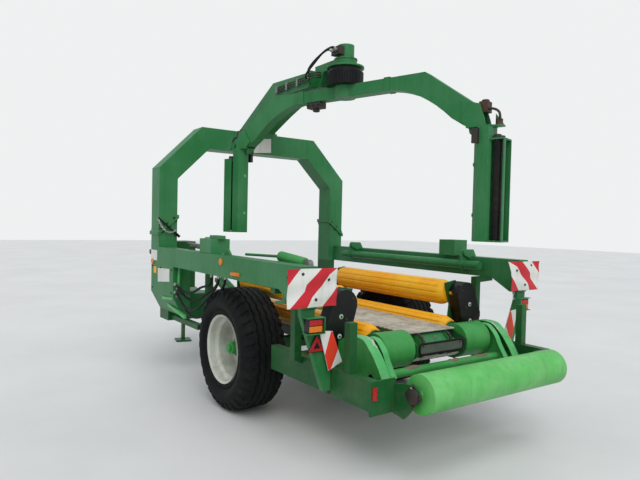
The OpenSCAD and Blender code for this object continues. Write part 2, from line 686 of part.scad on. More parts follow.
module rim(side) placed() color(rim_white) on_wheel(side) rotate_extrude($fn = 96) polygon(
  side > 0 ? rim_profile(1) : rim_profile(-1));
function rim_profile(s) = [for (q = [
  [bead_r, rim_w / 2 + 6], [bead_r, rim_w / 2 - 12], [bead_r - 14, rim_w / 2 - 20], [bead_r - 16, 120], [bead_r - 42, 95],
  [bead_r - 42, -95], [bead_r - 16, -120], [bead_r - 14, -rim_w / 2 + 20], [bead_r, -rim_w / 2 + 12],
  [bead_r, -rim_w / 2 - 6], [bead_r - 20, -rim_w / 2 + 8], [bead_r - 30, -122], [bead_r - 54, -96],
  [bead_r - 54, disc_a - 20], [hub_d / 2 + 75, disc_a - 30], [hub_d / 2 + seat_gap, disc_a - 30], [hub_d / 2 + seat_gap, disc_a + 6],
  [bead_r - 90, disc_a - 14], [bead_r - 60, disc_a], [bead_r - 52, disc_a + 12], [bead_r - 52, 88], [bead_r - 26, 116],
  [bead_r - 20, rim_w / 2 - 8]]) [q[0], q[1] * s]];
module hub(side) placed() color(bright_green) difference() {
  union() {
    on_wheel(side) translate([0, 0, side > 0 ? -100 : -40]) cylinder(d = hub_d, h = 140);
    on_wheel(side) translate([0, 0, side > 0 ? 40 : -95]) cylinder(d = hub_d - 40, h = 55);
    on_wheel(side) translate([0, 0, side > 0 ? disc_a - 44 : -disc_a + 30]) cylinder(d = hub_d + 110, h = 14);
  }
  on_wheel(side) translate([0, 0, side > 0 ? -110 : -25]) cylinder(d = stub_d + 2 * run_gap, h = 135);
}
module tyre_left() tyre(-1);
module tyre_right() tyre(1);
module rim_left() rim(-1);
module rim_right() rim(1);
module hub_left() hub(-1);
module hub_right() hub(1);

// Slewing ring with teeth, and the wrapping arm below it
ring_h = plate_z - arm_top - 2 * seat_gap;
tooth_count = 72;
module slew_ring() placed() color(rubber_black) translate([0, -slew_back, arm_top + seat_gap]) {
  linear_extrude(ring_h - 40) difference() {
    circle(d = ring_d);
    for (i = [0:tooth_count - 1]) rotate(i * 360 / tooth_count) translate([ring_d / 2 - 8, -3.5]) square([10, 7]);
  }
  cylinder(d = ring_d - 40, h = ring_h);
}
module on_arm() {
  translate([0, -slew_back, 0]) rotate([0, 0, -arm_angle]) children();
}
arm_low = arm_top - 110;
arm_deep = arm_top - 150;
slope_z = 340;       // how far the sloping end drops
module arm_half() {
  along(-arm_w / 2, arm_w / 2) polygon(concat(
    [[-1, arm_low], [-1, arm_top], [arm_bend, arm_top], [arm_reach, arm_top - slope_z], [arm_reach - 120, arm_top - slope_z - 140]],
    [for (i = [0:8]) let (t = i / 8) let (a = [arm_reach - 230, arm_top - slope_z - 70], b = [arm_bend - 20, arm_deep], c = [arm_bend - 330, arm_low])
      a * (1 - t) * (1 - t) + 2 * b * t * (1 - t) + c * t * t]));
}
module wrapping_arm() placed() color(machine_green) on_arm() {
  arm_half();
  mirror([1, 0, 0]) arm_half();
  translate([0, 0, arm_low]) cylinder(d = 200, h = arm_top - arm_low);
}

// Film columns with their end plates, one at each end of the arm
column_w = 150;
column_d = 150;
plate_end = 1556;
roller_top = 2330;
film_r = 32;
film_s = column_in + column_d + 48;
film_ts = [-42, 42];
module column() {
  translate([0, 0, column_z]) linear_extrude(column_top - column_z) polygon([
    [column_in, -30], [column_in + 45, -column_w / 2], [column_in + column_d - 20, -column_w / 2],
    [column_in + column_d, -column_w / 2 + 20], [column_in + column_d, column_w / 2 - 20],
    [column_in + column_d - 20, column_w / 2], [column_in + 45, column_w / 2], [column_in, 30]]);
  difference() {
    union() {
      for (z = [column_z, roller_top])
        box([column_in + column_d - 1, -80, z], [plate_end, 80, z + 12]);
      box([plate_end - 10, -70, column_z + 11], [plate_end, -35, roller_top + 1]);
    }
    for (t = film_ts) translate([film_s, t, column_z - 5]) cylinder(r = 8 + run_gap, h = roller_top - column_z + 20);
  }
  along(-arm_w / 2 - 14, -arm_w / 2 - seat_gap) hinge_cheek();
  along(arm_w / 2 + seat_gap, arm_w / 2 + 14) hinge_cheek();
  box([column_in - 60, -arm_w / 2 - 14, column_top - 1], [column_in + column_d, arm_w / 2 + 14, column_top + 10]);
}
module hinge_cheek() polygon([[column_in - 60, column_top + 9], [column_in + 100, column_top + 9], [column_in + 90, column_top + 60],
  [arm_reach + 10, arm_top - slope_z + 20], [arm_reach - 60, arm_top - slope_z + 40], [arm_reach - 150, arm_top - slope_z - 100]]);
module film_columns() placed() color(machine_green) on_arm() {
  column();
  rotate([0, 0, 180]) column();
}
module film_roller(turn, t) placed() color(steel_grey) on_arm() rotate([0, 0, turn]) translate([film_s, t, 0]) {
  translate([0, 0, column_z + 12 + side_gap]) cylinder(r = film_r, h = roller_top - column_z - 12 - 2 * side_gap);
  translate([0, 0, column_z]) cylinder(r = 8, h = roller_top - column_z + 12);
}
module film_roller_rear_a() film_roller(0, film_ts[0]);
module film_roller_rear_b() film_roller(0, film_ts[1]);
module film_roller_front_a() film_roller(180, film_ts[0]);
module film_roller_front_b() film_roller(180, film_ts[1]);

// Cradle rollers with rounded ribs
rib_count = 12;
module ribbed(d, y0, y1, rib) {
  translate([0, y1, 0]) rotate([90, 0, 0]) {
    linear_extrude(y1 - y0) {
      circle(d = d - 2 * rib);
      for (i = [0:rib_count - 1]) rotate(i * 360 / rib_count) translate([d / 2 - rib - 4, -d * 0.075]) square([rib + 4, d * 0.15]);
    }
  }
}
lower_rear = -1262;
module upper_roller(side) placed() color(roller_yellow) translate([side * upper_x, 0, upper_z]) {
  ribbed(upper_d, roller_rear, roller_front, 12);
  bar_y(shaft_r, roller_rear - end_t - side_gap - 20, roller_front + end_t + side_gap + 10, 0, 0);
}
module lower_roller(side) placed() color(roller_yellow) translate([side * lower_x, 0, lower_z]) {
  ribbed(lower_d, lower_rear, roller_front, 10);
  bar_y(shaft_r, rail_rear - end_t, roller_front + end_t + side_gap + 10, 0, 0);
}
module upper_roller_left() upper_roller(-1);
module upper_roller_right() upper_roller(1);
module lower_roller_left() lower_roller(-1);
module lower_roller_right() lower_roller(1);

// End drums on the conveyor's rear shaft, and the rear roller
drum_x = 282;
module end_drums() placed() color(bright_green) {
  for (x = [-150, 150]) bar_x(belt_inner - side_gap, x - 10, x + 10, -drum_back, drum_z);
  both_sides() bar_x(drum_d / 2, drum_x, drum_x + drum_l, -drum_back, drum_z);
  bar_x(shaft_r, -web_x - web_t, web_x + web_t, -drum_back, drum_z);
}
module rear_roller() placed() color(bright_green) {
  bar_x(rear_d / 2, -rear_l / 2, rear_l / 2, -rear_back, rear_z);
  bar_x(shaft_r, -bearing_x - bearing_t - 6, bearing_x + bearing_t + 6, -rear_back, rear_z);
}

// Side rail on the right, hung on two pins
rail_x = 1000;
side_rail_z = 1298;
hang_z = 1410;
hang_ys = [-900, 820];
module side_rail() placed() color(machine_green) {
  bar_y(40, -1080, 990, rail_x, side_rail_z);
  difference() {
    for (y = hang_ys) along(y, y + 20)
      polygon(concat(arc([rail_x, hang_z], 34, 0, 180), arc([rail_x, side_rail_z], 50, 180, 360)));
    bar_y(15 + run_gap, hang_ys[0] - 40, hang_ys[1] + 40, rail_x, hang_z);
    bar_y(39, hang_ys[0] - 40, hang_ys[1] + 40, rail_x, side_rail_z);
  }
}
module rail_hangers() placed() color(machine_green) for (y = hang_ys) {
  along(y - 20, y - 5) polygon(concat([[beam_in + 60, beam_top], [beam_in, beam_top], [beam_in, beam_top - 60], [beam_in - 30, beam_top - 20]],
    arc([rail_x, hang_z], 32, 270, 90), [[beam_in + 20, hang_z + 30]]));
  bar_y(15, y - 20, y + 30, rail_x, hang_z);
}

side_beams();
arch_legs();
arch_crown();
neck();
slew_motor();
lower_frame();
frame_posts();
roller_plates();
axle_beam();
front_frame();
front_brackets();
rear_corners();
guide_webs();
conveyor_frame();
conveyor_belt();
end_flap();
marker_brackets();
marker_boards();
rear_lamps();
chain_covers();
front_cover();
cut_hold_units();
oil_tank();
drawbar();
tow_eye();
parking_jack();
swing_barrel();
swing_rod();
loading_arm();
clamp_arm();
lift_barrel();
lift_rod();
tyre_left();
rim_left();
hub_left();
tyre_right();
rim_right();
hub_right();
slew_ring();
wrapping_arm();
film_columns();
film_roller_front_a();
film_roller_front_b();
film_roller_rear_a();
film_roller_rear_b();
upper_roller_left();
lower_roller_left();
upper_roller_right();
lower_roller_right();
end_drums();
rear_roller();
side_rail();
rail_hangers();
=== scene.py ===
"""Looks of a trailed bale wrapper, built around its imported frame. All lengths are metres."""
import random
from math import cos, degrees, pi, radians, sin

import bmesh
import bpy
from mathutils import Matrix, Vector


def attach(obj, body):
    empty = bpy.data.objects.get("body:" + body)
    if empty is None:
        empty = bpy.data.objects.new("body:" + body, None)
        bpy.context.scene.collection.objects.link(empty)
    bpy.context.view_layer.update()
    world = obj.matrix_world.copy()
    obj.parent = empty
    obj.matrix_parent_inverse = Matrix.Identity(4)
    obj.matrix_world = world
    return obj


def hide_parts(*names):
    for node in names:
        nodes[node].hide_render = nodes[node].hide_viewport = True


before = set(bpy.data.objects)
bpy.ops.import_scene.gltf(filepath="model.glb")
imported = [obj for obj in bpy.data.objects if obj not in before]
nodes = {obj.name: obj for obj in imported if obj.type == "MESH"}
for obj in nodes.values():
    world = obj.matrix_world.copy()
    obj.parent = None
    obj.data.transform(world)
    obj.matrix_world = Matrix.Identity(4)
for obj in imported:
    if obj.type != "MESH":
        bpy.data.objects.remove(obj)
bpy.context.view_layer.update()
random.seed(7)

# Points below are given from the axle; the frame's origin lies this far ahead of it
MID = 0.771923
SIDES = ((-1, "left"), (1, "right"))
UP = Vector((0, 0, 1))

# Camera
EYE = Vector((-3.1986, -4.4747 - MID, 1.6543))
YAW, PITCH, ROLL = (radians(a) for a in (35.066, -1.669, 1.303))
FOCAL_PX, PICTURE_W, SENSOR, VIEW_END = 559.73, 640, 36.0, 200


def make_camera():
    """The camera, at eye height behind the left rear corner, with its roll."""
    ahead = Vector((sin(YAW) * cos(PITCH), cos(YAW) * cos(PITCH), sin(PITCH)))
    level = Vector((cos(YAW), -sin(YAW), 0))
    up = level.cross(ahead)
    side = level * cos(ROLL) + up * sin(ROLL)
    top = up * cos(ROLL) - level * sin(ROLL)
    data = bpy.data.cameras.new("camera")
    data.sensor_width = SENSOR
    data.lens = FOCAL_PX * SENSOR / PICTURE_W
    data.clip_end = VIEW_END
    camera = bpy.data.objects.new("camera", data)
    turn = Matrix((side, top, -ahead)).transposed()
    camera.matrix_world = Matrix.Translation(EYE) @ turn.to_4x4()
    bpy.context.scene.collection.objects.link(camera)
    bpy.context.scene.camera = camera


# Materials
class Tree:
    """A material's node tree, with a short way to add and join nodes."""

    def __init__(self, name):
        self.material = bpy.data.materials.new(name)
        self.material.use_nodes = True
        self.nodes = self.material.node_tree.nodes
        self.links = self.material.node_tree.links
        self.shader = self.nodes["Principled BSDF"]
        self.place = self.nodes.new("ShaderNodeTexCoord").outputs["Object"]

    def add(self, kind, inputs=None, **settings):
        """A node with its inputs set to values, or joined to the sockets given."""
        made = self.nodes.new("ShaderNode" + kind)
        for key, value in settings.items():
            setattr(made, key, value)
        for key, value in (inputs or {}).items():
            if isinstance(value, bpy.types.NodeSocket):
                self.links.new(value, made.inputs[key])
            else:
                made.inputs[key].default_value = value
        return made

    def noise(self, scale, detail=4.0, rough=0.6, stretch=None):
        """Noise from 0 to 1 over the object's own coordinates."""
        where = self.place
        if stretch:
            where = self.add("Mapping", {"Vector": self.place, "Scale": stretch}).outputs[0]
        return self.add("TexNoise", {"Vector": where, "Scale": scale, "Detail": detail,
                                     "Roughness": rough}).outputs["Fac"]

    def ramp(self, value, low, high, top=1.0):
        """value brought from between low and high to between 0 and top."""
        return self.add("MapRange", {"Value": value, "From Min": low, "From Max": high,
                                     "To Max": top}).outputs[0]

    def spread(self, value, low, high):
        """value brought from between 0 and 1 to between low and high."""
        return self.add("MapRange", {"Value": value, "To Min": low, "To Max": high}).outputs[0]

    def times(self, a, b):
        """Two values multiplied."""
        return self.add("Math", {0: a, 1: b}, operation="MULTIPLY").outputs[0]

    def mix(self, amount, a, b):
        """Colour a turning into b."""
        return self.add("Mix", {"Factor": amount, 6: a, 7: b}, data_type="RGBA").outputs[2]

    def finish(self, colour, rough, height, bump, normal=None):
        """The material, with its colour, roughness and bump joined to the shader."""
        self.links.new(colour, self.shader.inputs["Base Color"])
        self.links.new(rough, self.shader.inputs["Roughness"])
        inputs = {"Height": height, "Strength": 1.0, "Distance": bump}
        if normal:
            inputs["Normal"] = normal
        self.links.new(self.add("Bump", inputs).outputs[0], self.shader.inputs["Normal"])
        return self.material


def srgb(code, share=1):
    """A linear colour from its hexadecimal code, or a darker share of it."""
    parts = [int(code[i:i + 2], 16) / 255 for i in (0, 2, 4)]
    parts = [c / 12.92 if c <= 0.04045 else ((c + 0.055) / 1.055) ** 2.4 for c in parts]
    return (*(c * share for c in parts), 1)


def edge_mask(tree, radius):
    """The rounded normal, and a mask that is 1 on a sharp edge."""
    bevel = tree.add("Bevel", {"Radius": radius}, samples=4)
    flat = tree.add("NewGeometry").outputs["Normal"]
    same = tree.add("VectorMath", {0: bevel.outputs[0], 1: flat}, operation="DOT_PRODUCT").outputs["Value"]
    return bevel.outputs[0], tree.ramp(same, 0.995, 0.8)


DRIED_MUD = "6b6552"
# Heights where dust on paint begins and where it is at its thickest
DUST_FROM, DUST_FULL = 1.35, 0.25


def paint(name, base, faded, worn, rough=0.42, dust=0.5, wear=0.5, edge=0.006):
    """Weathered machine paint: faded patches, rain streaks, dust below and worn edges."""
    tree = Tree(name)
    patch = tree.ramp(tree.noise(1.7, 5, 0.65), 0.38, 0.66)
    fine = tree.noise(60, 6, 0.7)
    colour = tree.mix(patch, srgb(base), srgb(faded))
    streak = tree.ramp(tree.noise(1.0, 5, 0.7, (24, 24, 2.2)), 0.5, 0.78, 0.35)
    colour = tree.mix(streak, colour, srgb(base, 0.45))
    level = tree.add("SeparateXYZ", {0: tree.place}).outputs[2]
    low = tree.ramp(level, DUST_FROM, DUST_FULL)
    grime = tree.times(tree.ramp(tree.noise(7, 8, 0.72), 0.47, 0.75), low)
    colour = tree.mix(tree.times(grime, dust), colour, srgb(DRIED_MUD))
    normal, edges = edge_mask(tree, edge)
    chips = tree.times(edges, tree.ramp(tree.noise(38, 6, 0.8), 0.5, 0.62))
    colour = tree.mix(tree.times(chips, wear), colour, srgb(worn))
    gloss = tree.spread(fine, rough - 0.12, rough + 0.16)
    tree.shader.inputs["Specular IOR Level"].default_value = 0.3
    return tree.finish(colour, gloss, fine, 0.0006, normal)


def rubber(name, base, dusty, rough=0.72):
    """Rubber with dried dust in its hollows."""
    tree = Tree(name)
    fine = tree.noise(90, 6, 0.7)
    dust = tree.ramp(tree.noise(5, 7, 0.7), 0.45, 0.75, 0.55)
    colour = tree.mix(dust, srgb(base), srgb(dusty))
    gloss = tree.spread(fine, rough - 0.15, rough + 0.15)
    tree.shader.inputs["Specular IOR Level"].default_value = 0.2
    return tree.finish(colour, gloss, fine, 0.0008)


def metal(name, base, dull, rough=0.45):
    """Worn bare steel."""
    tree = Tree(name)
    patch = tree.ramp(tree.noise(9, 7, 0.75), 0.42, 0.66)
    fine = tree.noise(140, 5, 0.7)
    colour = tree.mix(patch, srgb(base), srgb(dull))
    tree.shader.inputs["Metallic"].default_value = 0.65
    gloss = tree.spread(fine, rough - 0.1, rough + 0.2)
    return tree.finish(colour, gloss, fine, 0.0004, edge_mask(tree, 0.003)[0])


GREEN = paint("machine_green", "23703a", "3b7c4e", "9fae8a", dust=0.4)
DEEP_GREEN = paint("deep_green", "104e20", "1d6230", "7c8e66", dust=0.5)
BRIGHT_GREEN = paint("bright_green", "2a8238", "44994e", "a9a488", dust=0.35, wear=0.7)
ROLLER_GREEN = paint("roller_green", "4aa84a", "74c274", "8a7350", dust=0.3, wear=0.9, edge=0.010)
YELLOW = paint("roller_yellow", "efa40a", "f5b826", "8a6a30", dust=0.2, wear=0.8)
RIM_WHITE = paint("rim_white", "c9ccc2", "b2b4a8", "6e6a5c", dust=0.7, wear=0.4)
BLACK_PAINT = paint("black_cover", "060808", "101314", "5c5f5a", rough=0.35, dust=0.25, wear=0.3)
BOARD_WHITE = paint("board_white", "dcdcd6", "d2d3cc", "8f8c80", dust=0.2, wear=0.2)
SIGN_RED = paint("sign_red", "c8202c", "b92733", "7f3030", dust=0.2, wear=0.2)
SIGN_ORANGE = paint("sign_orange", "e23a20", "d2452c", "8a4434", dust=0.2, wear=0.2)
RUBBER = rubber("tyre_rubber", "0a0c0d", "2a2926")
FILM_RUBBER = rubber("film_rubber", "0c0c0c", "3a2f28", rough=0.5)
SLAT = metal("slat_steel", "cbc7b8", "9a9080")
STEEL = metal("bare_steel", "8b8c8a", "5f5a52")
DARK_STEEL = metal("dark_steel", "3a3b3b", "4c3a2c")
RUSTY = metal("rusty_steel", "5b4538", "3c3430", rough=0.6)
CHAIN_STEEL = metal("chain_steel", "c9c7bf", "5f5a52", rough=0.35)
HOSE = rubber("hose_rubber", "0f1112", "2c2e2c", rough=0.5)
FLAP_GREY = rubber("flap_grey", "4a5248", "6a6f62", rough=0.6)
LIGHT_GREEN = paint("light_green", "3fa255", "6cc07a", "a9a488", dust=0.3, wear=0.6)
WORN_PAINT = paint("worn_paint", "b9c4b4", "8fae92", "6b6f62", dust=0.3, wear=0.6)
DECAL = paint("blank_decal", "dfe0da", "cfd0c8", "a9aa9f", dust=0.25, wear=0.15)
AMBER = paint("amber_lens", "d8741a", "e0862c", "8a4a20", rough=0.25, dust=0.3, wear=0.1)
RED_LENS = paint("red_lens", "a81e22", "b82c2a", "6a2020", rough=0.25, dust=0.3, wear=0.1)
DIRT = rubber("dried_dirt", DRIED_MUD, "857d68", rough=0.9)

FINISH = [
    (GREEN, ["side_beams", "arch_legs", "arch_crown", "neck", "slew_motor", "wrapping_arm", "film_columns",
             "marker_brackets", "cut_hold_units", "side_rail", "rail_hangers", "front_cover"]),
    (DEEP_GREEN, ["lower_frame", "frame_posts", "roller_plates", "axle_beam", "front_frame", "front_brackets",
                  "rear_corners", "conveyor_frame", "oil_tank", "drawbar", "parking_jack", "swing_barrel",
                  "loading_arm", "clamp_arm", "lift_barrel"]),
    (BRIGHT_GREEN, ["guide_webs", "end_drums", "hub_left", "hub_right"]),
    (ROLLER_GREEN, ["rear_roller"]),
    (FILM_RUBBER, ["film_roller_front_a", "film_roller_front_b", "film_roller_rear_a", "film_roller_rear_b"]),
    (YELLOW, ["upper_roller_left", "lower_roller_left", "upper_roller_right", "lower_roller_right"]),
    (RIM_WHITE, ["rim_left", "rim_right"]),
    (BLACK_PAINT, ["chain_covers", "end_flap", "slew_ring"]),
    (BOARD_WHITE, ["marker_boards"]),
    (SIGN_RED, ["rear_lamps"]),
    (RUBBER, ["tyre_left", "tyre_right"]),
    (SLAT, ["conveyor_belt"]),
    (STEEL, ["tow_eye", "swing_rod", "lift_rod"]),
]


def finish_nodes():
    """Each node of the frame in its own material."""
    for material, names in FINISH:
        for name in names:
            nodes[name].data.materials.clear()
            nodes[name].data.materials.append(material)


# Studio
FLOOR_SIZE = 80
FLOOR_GREY, FLOOR_PALE = (0.60, 0.60, 0.59, 1), (0.66, 0.66, 0.65, 1)
SKY, SKY_STRENGTH, SKY_SEEN = (0.92, 0.96, 1.0, 1), 0.75, (0.86, 0.88, 0.88, 1)
SUN_ENERGY, SUN_WIDTH, SUN_TILT, SUN_TURN = 1.6, 50, 38, -20


def make_studio():
    """A plain pale floor, a pale world and one broad soft sun."""
    tree = Tree("floor")
    grain = tree.noise(40, 5)
    colour = tree.mix(tree.ramp(tree.noise(0.6, 4), 0.3, 0.7), FLOOR_GREY, FLOOR_PALE)
    material = tree.finish(colour, tree.spread(grain, 0.7, 0.9), grain, 0.0005)
    bpy.ops.mesh.primitive_plane_add(size=FLOOR_SIZE, location=(0, 0, 0))
    floor = bpy.context.object
    floor.name = "floor"
    floor.data.materials.append(material)
    world = bpy.data.worlds.new("world")
    world.use_nodes = True
    bpy.context.scene.world = world
    links, parts = world.node_tree.links, world.node_tree.nodes
    light = parts["Background"]
    light.inputs[0].default_value = SKY
    light.inputs[1].default_value = SKY_STRENGTH
    seen = parts.new("ShaderNodeBackground")
    seen.inputs[0].default_value = SKY_SEEN
    camera_ray = parts.new("ShaderNodeLightPath").outputs["Is Camera Ray"]
    pick = parts.new("ShaderNodeMixShader")
    for source, socket in zip((camera_ray, light.outputs[0], seen.outputs[0]), pick.inputs):
        links.new(source, socket)
    links.new(pick.outputs[0], parts["World Output"].inputs[0])
    data = bpy.data.lights.new("sun", "SUN")
    data.energy = SUN_ENERGY
    data.angle = radians(SUN_WIDTH)
    sun = bpy.data.objects.new("sun", data)
    sun.rotation_euler = (radians(SUN_TILT), 0, radians(SUN_TURN))
    bpy.context.scene.collection.objects.link(sun)


# Building pieces
def angles(count, start=0.0):
    """Evenly spaced angles round a full turn."""
    return [2 * pi * (i + start) / count for i in range(count)]


class Piece:
    """A piece made of several simple closed forms, riding on one body."""

    def __init__(self, name, slot, *materials, body="chassis"):
        self.name, self.slot, self.materials, self.body = name, slot, materials, body
        self.mesh = bmesh.new()
        self.material = 0

    def rings(self, rings, closed=False):
        """A skin over rings of points; its two ends are capped unless it closes on itself."""
        made = [[self.mesh.verts.new(p) for p in ring] for ring in rings]
        pairs = list(zip(made, made[1:])) + ([(made[-1], made[0])] if closed else [])
        for low, high in pairs:
            for i in range(len(low)):
                j = (i + 1) % len(low)
                self.face(low[i], low[j], high[j], high[i])
        if not closed:
            self.face(*reversed(made[0]))
            self.face(*made[-1])

    def face(self, *corners):
        """A face in the material that is set at the time."""
        self.mesh.faces.new(corners).material_index = self.material

    def prism(self, outline, offset):
        """An outline of points, made solid along an offset."""
        offset = Vector(offset)
        self.rings([[Vector(p) for p in outline], [Vector(p) + offset for p in outline]])

    def plate(self, x, outline, thick):
        """An outline of (y, z) points at one x, made solid along x."""
        self.prism([(x, y, z) for y, z in outline], (thick, 0, 0))

    def bar(self, start, end, outline):
        """An outline of (y, z) points, drawn out from one x to another."""
        self.rings([[(x, y, z) for y, z in outline] for x in (start, end)])

    def box(self, low, high):
        """A box between two opposite corners."""
        (a, b, c), (d, e, f) = low, high
        self.prism([(a, b, c), (d, b, c), (d, e, c), (a, e, c)], (0, 0, f - c))

    def lathe(self, start, axis, profile, sides=20):
        """A round form: (distance along the axis, radius) pairs."""
        start, axis = Vector(start), Vector(axis).normalized()
        side = axis.orthogonal().normalized()
        other = axis.cross(side)
        self.rings([[start + axis * d + (side * cos(t) + other * sin(t)) * r for t in angles(sides)]
                    for d, r in profile])

    def rod(self, a, b, r, sides=16):
        """A round bar with chamfered ends."""
        a, b = Vector(a), Vector(b)
        length = (b - a).length
        c = min(r * 0.15, length / 4)
        self.lathe(a, b - a, [(0, r - c), (c, r), (length - c, r), (length, r - c)], sides)

    def bolt(self, at, axis, r, h):
        """A washer, a hexagon head and the end of its thread."""
        self.lathe(at, axis, [(-0.001, r * 1.35), (0.002, r * 1.35)], 16)
        self.lathe(at, axis, [(0.001, r), (h - 0.002, r), (h, r * 0.86)], 6)
        self.lathe(at, axis, [(h - 0.003, r * 0.5), (h + 0.004, r * 0.45)], 10)

    def sweep(self, path, r, sides=10):
        """A tube along a line of points."""
        normal = None
        made = []
        for i, p in enumerate(path):
            ahead = (path[min(i + 1, len(path) - 1)] - path[max(i - 1, 0)]).normalized()
            normal = ahead.orthogonal() if normal is None else normal - ahead * normal.dot(ahead)
            normal.normalize()
            other = ahead.cross(normal)
            made.append([p + (normal * cos(t) + other * sin(t)) * r for t in angles(sides)])
        self.rings(made)

    def done(self, replaces=(), smooth=35):
        """The finished object, moved into the frame."""
        bmesh.ops.recalc_face_normals(self.mesh, faces=self.mesh.faces)
        data = bpy.data.meshes.new(self.name)
        self.mesh.to_mesh(data)
        self.mesh.free()
        data.transform(Matrix.Translation((0, -MID, 0)))
        for material in self.materials:
            data.materials.append(material)
        made = bpy.data.objects.new(self.name, data)
        bpy.context.scene.collection.objects.link(made)
        data.polygons.foreach_set("use_smooth", [True] * len(data.polygons))
        data.set_sharp_from_angle(angle=radians(smooth))
        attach(made, self.body)
        if replaces:
            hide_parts(*replaces)
        return made


def smooth_path(points, count):
    """Points evenly spaced along one smooth curve through the given ones."""
    steps = 24
    points = [Vector(p) for p in points]
    padded = [points[0] * 2 - points[1], *points, points[-1] * 2 - points[-2]]
    fine = []
    for i in range(1, len(padded) - 2):
        a, b, c, d = padded[i - 1:i + 3]
        for t in (k / steps for k in range(steps)):
            fine.append(0.5 * (2 * b + (c - a) * t + (2 * a - 5 * b + 4 * c - d) * t ** 2
                               + (3 * b - a - 3 * c + d) * t ** 3))
    fine.append(points[-1])
    reach = [0.0]
    for a, b in zip(fine, fine[1:]):
        reach.append(reach[-1] + (b - a).length)
    made, j = [], 0
    for i in range(count):
        goal = reach[-1] * i / (count - 1)
        while j < len(reach) - 2 and reach[j + 1] < goal:
            j += 1
        part = (goal - reach[j]) / (reach[j + 1] - reach[j])
        made.append(fine[j].lerp(fine[j + 1], part))
    return made


def hose(name, points, r):
    """A hydraulic hose between two ports, with its ferrules."""
    path = smooth_path(points, 34)
    piece = Piece(name, "flap_rubber", HOSE)
    piece.sweep(path, r, 12)
    made = piece.done()
    ends = Piece(name + "_ends", "steel", CHAIN_STEEL)
    for a, b in ((path[0], path[1]), (path[-1], path[-2])):
        way = (b - a).normalized()
        ends.lathe(a, way, [(-0.004, r * 1.5), (0.014, r * 1.5)], 6)
        ends.lathe(a, way, [(0.012, r * 1.25), (0.034, r * 1.25), (0.036, r * 1.12)], 14)
    ends.done()


# Tyres: wavy ribs in the middle and lugs on the shoulders
AXLE_Z, TRACK = 0.5365, 0.908
LUGS, LUG_STEPS = 34, 10
BEAD = ((0.3003, 0.163), (0.312, 0.172), (0.325, 0.180))
# Arcs of the wall and the shoulder: centre's radius and place, arc's radius, first angle, step, points
ARCS = ((0.410, 0.125, 0.080, 145, 10, 8), (0.4705, 0.121, 0.062, 92, 8.5, 11))
TREAD_HALF, TREAD_EDGE_R, TREAD_CROWN, TREAD_STEPS = 0.116, 0.5322, 0.0043, 58
GROOVES, GROOVE_HALF, GROOVE_DEEP, GROOVE_WAVE = (-0.087, -0.029, 0.029, 0.087), 0.0078, 0.015, 0.007
LUG_FROM, LUG_LOW_R, LUG_DEEP, LUG_SLANT, LUG_GAP = 0.112, 0.462, 0.016, 2.2, 0.42
INNER_R, INNER_HALF = 0.306, 0.15


def tyre_profile():
    """(radius, place across, normal's angle) along the tyre's outside, bead to bead."""
    half = [(r, a, 80) for r, a in BEAD]
    for centre, place, radius, first, step, count in ARCS:
        for i in range(count):
            t = radians(first - i * step)
            half.append((centre + radius * cos(t), place + radius * sin(t), degrees(t)))
    tread = [(TREAD_EDGE_R + TREAD_CROWN * (1 - (a / TREAD_HALF) ** 2), a, 0) for a in
             (TREAD_HALF - 2 * TREAD_HALF * i / TREAD_STEPS for i in range(TREAD_STEPS + 1))]
    return half + tread + [(r, -a, -n) for r, a, n in reversed(half)]


def tread_depth(r, a, turn):
    """How deep the tread is cut at a place across the tyre and round it."""
    phase = turn * LUGS / (2 * pi)
    wave = GROOVE_WAVE * (abs(2 * (phase % 1) - 1) * 2 - 1)
    depth = 0.0
    for g in GROOVES:
        gap = abs(a - g - wave)
        depth = max(depth, GROOVE_DEEP * min(1, max(0, (GROOVE_HALF - gap) / 0.003)))
    reach = abs(a)
    if reach > LUG_FROM and r > LUG_LOW_R:
        step = (phase + (0.5 if a > 0 else 0) + (reach - LUG_FROM) * LUG_SLANT) % 1
        fade = min(1, (reach - LUG_FROM) / 0.008, (r - LUG_LOW_R) / 0.020)
        if step < LUG_GAP:
            depth = max(depth, LUG_DEEP * fade)
    return depth


def wheel_point(side, out, radius, turn):
    """A point on a wheel: outward from the tyre's middle, and round the axle."""
    return side * (TRACK + out), radius * sin(turn), AXLE_Z + radius * cos(turn)


def make_tyre(side, name):
    """A tyre with its tread cut in, hollow towards the rim."""
    piece = Piece("tread_" + name, "tyre", RUBBER, body="wheel_" + name)
    profile = tyre_profile()
    columns = []
    for turn in angles(LUGS * LUG_STEPS, 0.5):
        column = []
        for r, a, n in profile:
            cut = tread_depth(r, a, turn)
            n = radians(n)
            column.append(wheel_point(side, a - cut * sin(n), r - cut * cos(n), turn))
        columns.append(column + [wheel_point(side, out, INNER_R, turn) for out in (-INNER_HALF, INNER_HALF)])
    piece.rings(columns, closed=True)
    piece.done(replaces=["tyre_" + name], smooth=30)


